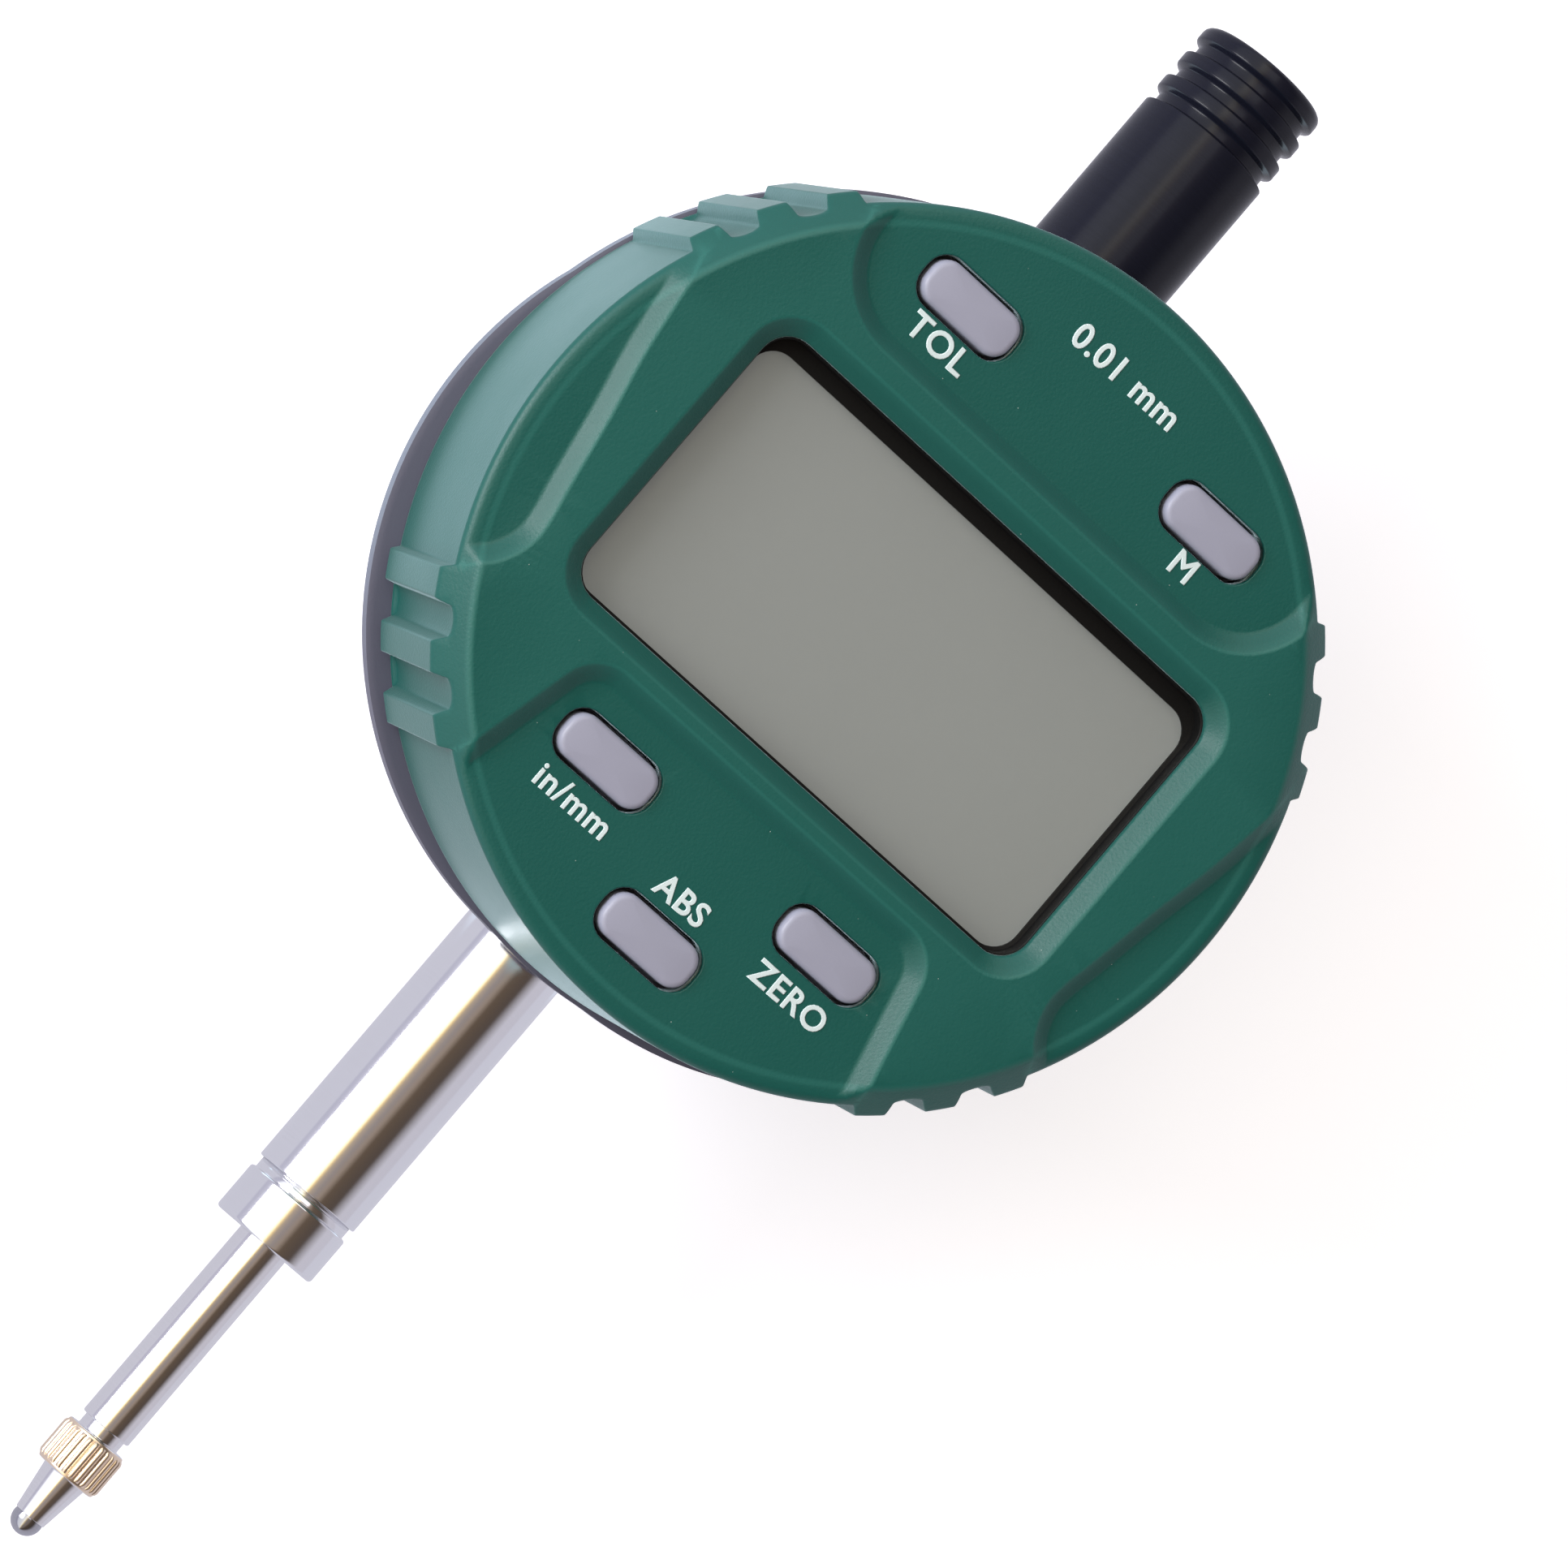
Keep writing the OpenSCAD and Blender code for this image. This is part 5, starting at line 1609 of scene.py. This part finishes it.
def ribs_tree():
    """Geometry Nodes: a rib repeated evenly round the Z axis, beside the core that it starts from."""
    tree = bpy.data.node_groups.new("ribs round an axis", "GeometryNodeTree")
    for label, kind in (("Core", "NodeSocketGeometry"), ("Rib", "NodeSocketObject"),
                        ("Count", "NodeSocketInt"), ("Finish", "NodeSocketMaterial")):
        tree.interface.new_socket(label, in_out="INPUT", socket_type=kind)
    tree.interface.new_socket("Ring", in_out="OUTPUT", socket_type="NodeSocketGeometry")
    nodes, links = tree.nodes, tree.links
    first = nodes.new("NodeGroupInput")
    last = nodes.new("NodeGroupOutput")
    info = nodes.new("GeometryNodeObjectInfo")
    links.new(first.outputs["Rib"], info.inputs["Object"])
    line = nodes.new("GeometryNodeMeshLine")
    line.inputs["Offset"].default_value = (0, 0, 0)
    links.new(first.outputs["Count"], line.inputs["Count"])
    index = nodes.new("GeometryNodeInputIndex")
    step = nodes.new("ShaderNodeMath")
    step.operation = "DIVIDE"
    step.inputs[0].default_value = FULL_TURN
    links.new(first.outputs["Count"], step.inputs[1])
    turn = nodes.new("ShaderNodeMath")
    turn.operation = "MULTIPLY"
    links.new(index.outputs[0], turn.inputs[0])
    links.new(step.outputs[0], turn.inputs[1])
    angles = nodes.new("ShaderNodeCombineXYZ")
    links.new(turn.outputs[0], angles.inputs["Z"])
    spread = nodes.new("GeometryNodeInstanceOnPoints")
    links.new(line.outputs[0], spread.inputs["Points"])
    links.new(info.outputs["Geometry"], spread.inputs["Instance"])
    links.new(angles.outputs[0], spread.inputs["Rotation"])
    real = nodes.new("GeometryNodeRealizeInstances")
    links.new(spread.outputs[0], real.inputs[0])
    both = nodes.new("GeometryNodeJoinGeometry")
    links.new(first.outputs["Core"], both.inputs[0])
    links.new(real.outputs[0], both.inputs[0])
    painted = nodes.new("GeometryNodeSetMaterial")
    links.new(both.outputs[0], painted.inputs["Geometry"])
    links.new(first.outputs["Finish"], painted.inputs["Material"])
    links.new(painted.outputs[0], last.inputs[0])
    return tree


class INDICATOR_OT_plunger(bpy.types.Operator):
    """Turn the plunger and its ribbed contact point"""

    bl_idname = "indicator.plunger"
    bl_label = "Plunger and contact point"

    def execute(self, context):
        sizes = context.scene.indicator_turned
        steel = slot_material("polished_steel")
        make_piece("plunger_rod", plunger_shell(), steel, "plunger_slider", ["plunger"])
        core = welded_object("point core", point_core_shell(sizes))
        rib = welded_object("point rib", rib_shell(sizes))
        mesh = core.data
        bpy.data.objects.remove(core)
        from_tree("contact_tip", mesh, ribs_tree(),
                  {"Rib": rib, "Count": sizes.flutes, "Finish": ribbed_steel()},
                  "plunger_slider", ["contact_point"])
        bpy.data.objects.remove(rib)
        ball_z = (BALL_LOW.z + BALL_HIGH.z) / 2
        radius = BALL_HIGH.x
        arc = [Vector((radius * sin(pi * k / 24), ball_z + radius * cos(pi * k / 24))) for k in range(25)]
        arc[0].x = arc[-1].x = 0.0
        make_piece("contact_tip_ball", lathe(arc, 48, False), slot_material("carbide"),
                   "plunger_slider", ["contact_ball"])
        return {"FINISHED"}


def cap_shell(turned_sizes):
    """The dust cap: a turned tube, closed above, with rounded ridges between wide grooves."""
    radius = CAP_HIGH.x
    low, high = CAP_LOW.z, CAP_HIGH.z
    pitch = turned_sizes.groove_pitch
    deep = turned_sizes.groove_depth
    land = 0.42 * pitch
    bore = radius - 1.3 * MM
    roof = 1.4 * MM
    corners = [(bore, low, 0.1 * MM), (radius, low, 0.2 * MM)]
    groove_tops = [high - 1.15 * MM - k * pitch for k in range(3)]
    for top in reversed(groove_tops):
        bottom = top - (pitch - land)
        corners += [(radius, bottom, 0.06 * MM), (radius - deep, bottom + 0.18 * MM, 0.14 * MM),
                    (radius - deep, top - 0.28 * MM, 0.2 * MM), (radius, top, 0.2 * MM)]
    corners += [(radius, high, 0.55 * MM), (0.0, high, 0)]
    outside = fillet_path([(bore, low, 0), *corners[1:]], closed=False, steps=4)
    inside = fillet_path([(0.0, high - roof, 0), (bore, high - roof, 0.5 * MM), (bore, low, 0)],
                         closed=False, steps=4)
    path = outside + inside[:-1]
    return lathe(path, 128, True)


class INDICATOR_OT_dust_cap(bpy.types.Operator):
    """Turn the dust cap"""

    bl_idname = "indicator.dust_cap"
    bl_label = "Dust cap"

    def execute(self, context):
        make_piece("dust_cap_tube", cap_shell(context.scene.indicator_turned),
                   slot_material("black_anodised"), "cap", ["dust_cap"])
        return {"FINISHED"}


# ---------------------------------------------------------------- finishes of the frame's own pieces


class INDICATOR_OT_finishes(bpy.types.Operator):
    """Give every piece that stays as it is in the frame its own finish"""

    bl_idname = "indicator.finishes"
    bl_label = "Finishes of the inner pieces"

    def execute(self, context):
        for part in frame["record"]["subparts"]:
            node = frame["nodes"][part["node"]]
            node.data.materials.clear()
            node.data.materials.append(slot_material(part["material_slot"]))
        return {"FINISHED"}


# ---------------------------------------------------------------- camera, light and backdrop

BACKDROP_Y = 26.0 * MM


def camera_axes(view):
    """Where the camera stands and its right, up and backward directions."""
    centre = face_point(0.0, -0.025 * MM, FACE + 0.05 * MM)
    aim = face_point(-0.156 * MM, -10.588 * MM, FACE + 0.05 * MM)
    out = Vector((sin(view.azimuth) * cos(view.elevation),
                  -cos(view.azimuth) * cos(view.elevation), sin(view.elevation)))
    eye = centre + out * view.distance
    ahead = (aim - eye).normalized()
    level = ahead.cross(Vector((0, 0, 1))).normalized()
    upright = level.cross(ahead)
    right = level * cos(view.roll) - upright * sin(view.roll)
    up = level * sin(view.roll) + upright * cos(view.roll)
    return eye, aim, right, up, -ahead


def add_camera(view):
    eye, _, right, up, back = camera_axes(view)
    lens = bpy.data.cameras.new("camera")
    lens.lens = view.lens
    lens.sensor_width = 36.0
    lens.clip_start = 0.01
    camera = bpy.data.objects.new("camera", lens)
    bpy.context.scene.collection.objects.link(camera)
    camera.matrix_world = Matrix.Translation(eye) @ Matrix((right, up, back)).transposed().to_4x4()
    bpy.context.scene.camera = camera


def add_light(name, view, across, above, towards, size, power, colour=(1, 1, 1)):
    """A soft square light, placed from the object in the camera's right, up and backward directions."""
    _, aim, right, up, back = camera_axes(view)
    place = aim + right * across + up * above + back * towards
    data = bpy.data.lights.new(name, "AREA")
    data.shape = "SQUARE"
    data.size = size
    data.energy = power
    data.color = colour
    light = bpy.data.objects.new(name, data)
    bpy.context.scene.collection.objects.link(light)
    light.location = place
    light.rotation_euler = (aim - place).to_track_quat("-Z", "Y").to_euler()
    return light


# Brightness and colour of the room round the stem, from the camera's direction round to the right:
# each stop is an angle in degrees and a linear colour
ROOM = (
    (-180, (0.50, 0.50, 0.60)), (-62, (0.50, 0.49, 0.60)), (-55, (1.10, 1.12, 1.20)),
    (-16, (1.25, 1.25, 1.22)), (-10, (1.9, 1.75, 1.45)), (-4, (1.5, 1.38, 0.95)),
    (0, (0.95, 0.68, 0.30)), (4, (0.44, 0.35, 0.27)), (14, (0.30, 0.26, 0.25)),
    (24, (0.32, 0.25, 0.20)), (34, (0.12, 0.085, 0.06)), (60, (0.085, 0.065, 0.055)),
    (72, (0.36, 0.34, 0.37)),
    (84, (0.58, 0.56, 0.63)), (180, (0.52, 0.51, 0.60)))


def room_world(view):
    """Pale room whose brightness changes with direction, as windows and dark corners do."""
    world = bpy.data.worlds.new("room")
    bpy.context.scene.world = world
    world.use_nodes = True
    tree = world.node_tree
    tree.nodes.clear()
    where = add_node(tree, "ShaderNodeTexCoord")
    split = add_node(tree, "ShaderNodeSeparateXYZ")
    tree.links.new(where.outputs["Generated"], split.inputs[0])
    forward = math_node(tree, "MULTIPLY", split.outputs["Y"], -1.0)
    angle = math_node(tree, "ARCTAN2", split.outputs["X"], forward)
    shifted_angle = math_node(tree, "SUBTRACT", angle, view.azimuth)
    share = math_node(tree, "FRACT", math_node(
        tree, "ADD", math_node(tree, "DIVIDE", shifted_angle, FULL_TURN), 0.5), 0.0)
    ramp = add_node(tree, "ShaderNodeValToRGB")
    stops = ramp.color_ramp.elements
    for place, (turn, colour) in enumerate(ROOM):
        at = turn / 360 + 0.5
        stop = stops[place] if place < 2 else stops.new(at)
        stop.position = at
        stop.color = (*(c / 2 for c in colour), 1)
    tree.links.new(share, ramp.inputs[0])
    light = add_node(tree, "ShaderNodeBackground", {"Strength": 2.0})
    tree.links.new(ramp.outputs[0], light.inputs["Color"])
    plain = add_node(tree, "ShaderNodeBackground", {"Strength": 1.0, "Color": (0.93, 0.93, 0.95, 1)})
    seen = add_node(tree, "ShaderNodeLightPath")
    chosen = add_node(tree, "ShaderNodeMixShader")
    tree.links.new(seen.outputs["Is Camera Ray"], chosen.inputs[0])
    tree.links.new(light.outputs[0], chosen.inputs[1])
    tree.links.new(plain.outputs[0], chosen.inputs[2])
    out = add_node(tree, "ShaderNodeOutputWorld")
    tree.links.new(chosen.outputs[0], out.inputs[0])


def backdrop_material():
    """Matt white that glows a little, and can be seen through from its back."""
    material = bpy.data.materials.new("backdrop white")
    material.use_nodes = True
    tree = material.node_tree
    tree.nodes.clear()
    side = add_node(tree, "ShaderNodeNewGeometry")
    matt = add_node(tree, "ShaderNodeBsdfDiffuse", {"Color": (0.86, 0.86, 0.93, 1)})
    glow = add_node(tree, "ShaderNodeEmission", {"Color": (1, 1, 1, 1), "Strength": 0.5})
    front = add_node(tree, "ShaderNodeAddShader")
    tree.links.new(matt.outputs[0], front.inputs[0])
    tree.links.new(glow.outputs[0], front.inputs[1])
    split = add_node(tree, "ShaderNodeSeparateXYZ")
    tree.links.new(side.outputs["Position"], split.inputs[0])

    def ramp(value, start, end):
        node = add_node(tree, "ShaderNodeMapRange", {"From Min": start, "From Max": end})
        tree.links.new(value, node.inputs["Value"])
        return node.outputs["Result"]

    high_up = math_node(tree, "SUBTRACT", split.outputs["Z"], CASE_Z)
    away = math_node(tree, "SQRT", math_node(tree, "ADD", math_node(
        tree, "MULTIPLY", split.outputs["X"], split.outputs["X"]), math_node(
        tree, "MULTIPLY", high_up, high_up)), 0.0)
    beside = math_node(tree, "MAXIMUM", ramp(math_node(
        tree, "ABSOLUTE", split.outputs["X"], 0.0), 0.014, 0.022), ramp(split.outputs["Z"], 0.036, 0.046))
    beside_case = math_node(tree, "MULTIPLY", math_node(
        tree, "MULTIPLY", beside, ramp(away, 0.052, 0.044)), math_node(
        tree, "MULTIPLY", ramp(split.outputs["Z"], 0.084, 0.076), ramp(split.outputs["Z"], 0.026, 0.034)))
    tint = add_node(tree, "ShaderNodeMix", data_type="RGBA")
    factor, low, high = (next(s for s in tint.inputs if s.name == name and s.enabled)
                         for name in ("Factor", "A", "B"))
    low.default_value = (0.62, 0.615, 0.70, 1)
    high.default_value = (1.3, 1.6, 1.85, 1)
    tree.links.new(beside_case, factor)
    mirrored = add_node(tree, "ShaderNodeEmission", {"Strength": 1.0})
    tree.links.new(next(s for s in tint.outputs if s.enabled), mirrored.inputs["Color"])
    path = add_node(tree, "ShaderNodeLightPath")
    lit = add_node(tree, "ShaderNodeMixShader")
    tree.links.new(path.outputs["Is Glossy Ray"], lit.inputs[0])
    tree.links.new(front.outputs[0], lit.inputs[1])
    tree.links.new(mirrored.outputs[0], lit.inputs[2])
    clear = add_node(tree, "ShaderNodeBsdfTransparent")
    chosen = add_node(tree, "ShaderNodeMixShader")
    tree.links.new(side.outputs["Backfacing"], chosen.inputs[0])
    tree.links.new(lit.outputs[0], chosen.inputs[1])
    tree.links.new(clear.outputs[0], chosen.inputs[2])
    out = add_node(tree, "ShaderNodeOutputMaterial")
    tree.links.new(chosen.outputs[0], out.inputs["Surface"])
    return material


class INDICATOR_OT_stage(bpy.types.Operator):
    """Set up the camera, the soft lights, the room and the white board that the indicator lies on"""

    bl_idname = "indicator.stage"
    bl_label = "Stage"

    def execute(self, context):
        view = context.scene.indicator_camera
        context.scene.view_settings.view_transform = "Standard"
        add_camera(view)
        room_world(view)
        add_light("window light", view, -0.28, 0.20, 0.33, 0.24, 1.5, (0.98, 0.98, 1.0))
        add_light("fill light", view, 0.30, 0.25, 0.60, 0.40, 0.45, (0.97, 0.97, 1.0))
        reach = 1.2
        mesh = bpy.data.meshes.new("backdrop")
        mesh.from_pydata([(-reach, BACKDROP_Y, -reach), (reach, BACKDROP_Y, -reach),
                          (reach, BACKDROP_Y, reach), (-reach, BACKDROP_Y, reach)], [], [(0, 1, 2, 3)])
        mesh.materials.append(backdrop_material())
        board = bpy.data.objects.new("backdrop", mesh)
        context.scene.collection.objects.link(board)
        return {"FINISHED"}


# ---------------------------------------------------------------- panel and run

STEPS = (
    INDICATOR_OT_stage, INDICATOR_OT_finishes, INDICATOR_OT_front_housing, INDICATOR_OT_buttons,
    INDICATOR_OT_legends, INDICATOR_OT_display, INDICATOR_OT_rear_case, INDICATOR_OT_screws,
    INDICATOR_OT_stem, INDICATOR_OT_plunger, INDICATOR_OT_dust_cap)
SETTINGS = (
    ("indicator_case", CaseSettings), ("indicator_button", ButtonSettings),
    ("indicator_turned", TurnedSettings), ("indicator_finish", FinishSettings),
    ("indicator_camera", CameraSettings))


class INDICATOR_PT_panel(bpy.types.Panel):
    """The indicator's pieces, their sizes and their finishes"""

    bl_idname = "INDICATOR_PT_panel"
    bl_label = "Plunger indicator"
    bl_space_type = "VIEW_3D"
    bl_region_type = "UI"
    bl_category = "Indicator"

    def draw(self, context):
        for name, group in SETTINGS:
            box = self.layout.box()
            box.label(text=group.__doc__)
            for key in group.__annotations__:
                box.prop(getattr(context.scene, name), key)
        for step in STEPS:
            self.layout.operator(step.bl_idname)


def register():
    for name, group in SETTINGS:
        bpy.utils.register_class(group)
        setattr(bpy.types.Scene, name, PointerProperty(type=group))
    for step in (*STEPS, INDICATOR_PT_panel):
        bpy.utils.register_class(step)


def unregister():
    for step in (INDICATOR_PT_panel, *reversed(STEPS)):
        bpy.utils.unregister_class(step)
    for name, group in reversed(SETTINGS):
        delattr(bpy.types.Scene, name)
        bpy.utils.unregister_class(group)


def main():
    register()
    for step in STEPS:
        family, action = step.bl_idname.split(".")
        getattr(getattr(bpy.ops, family), action)()


if __name__ == "__main__":
    main()
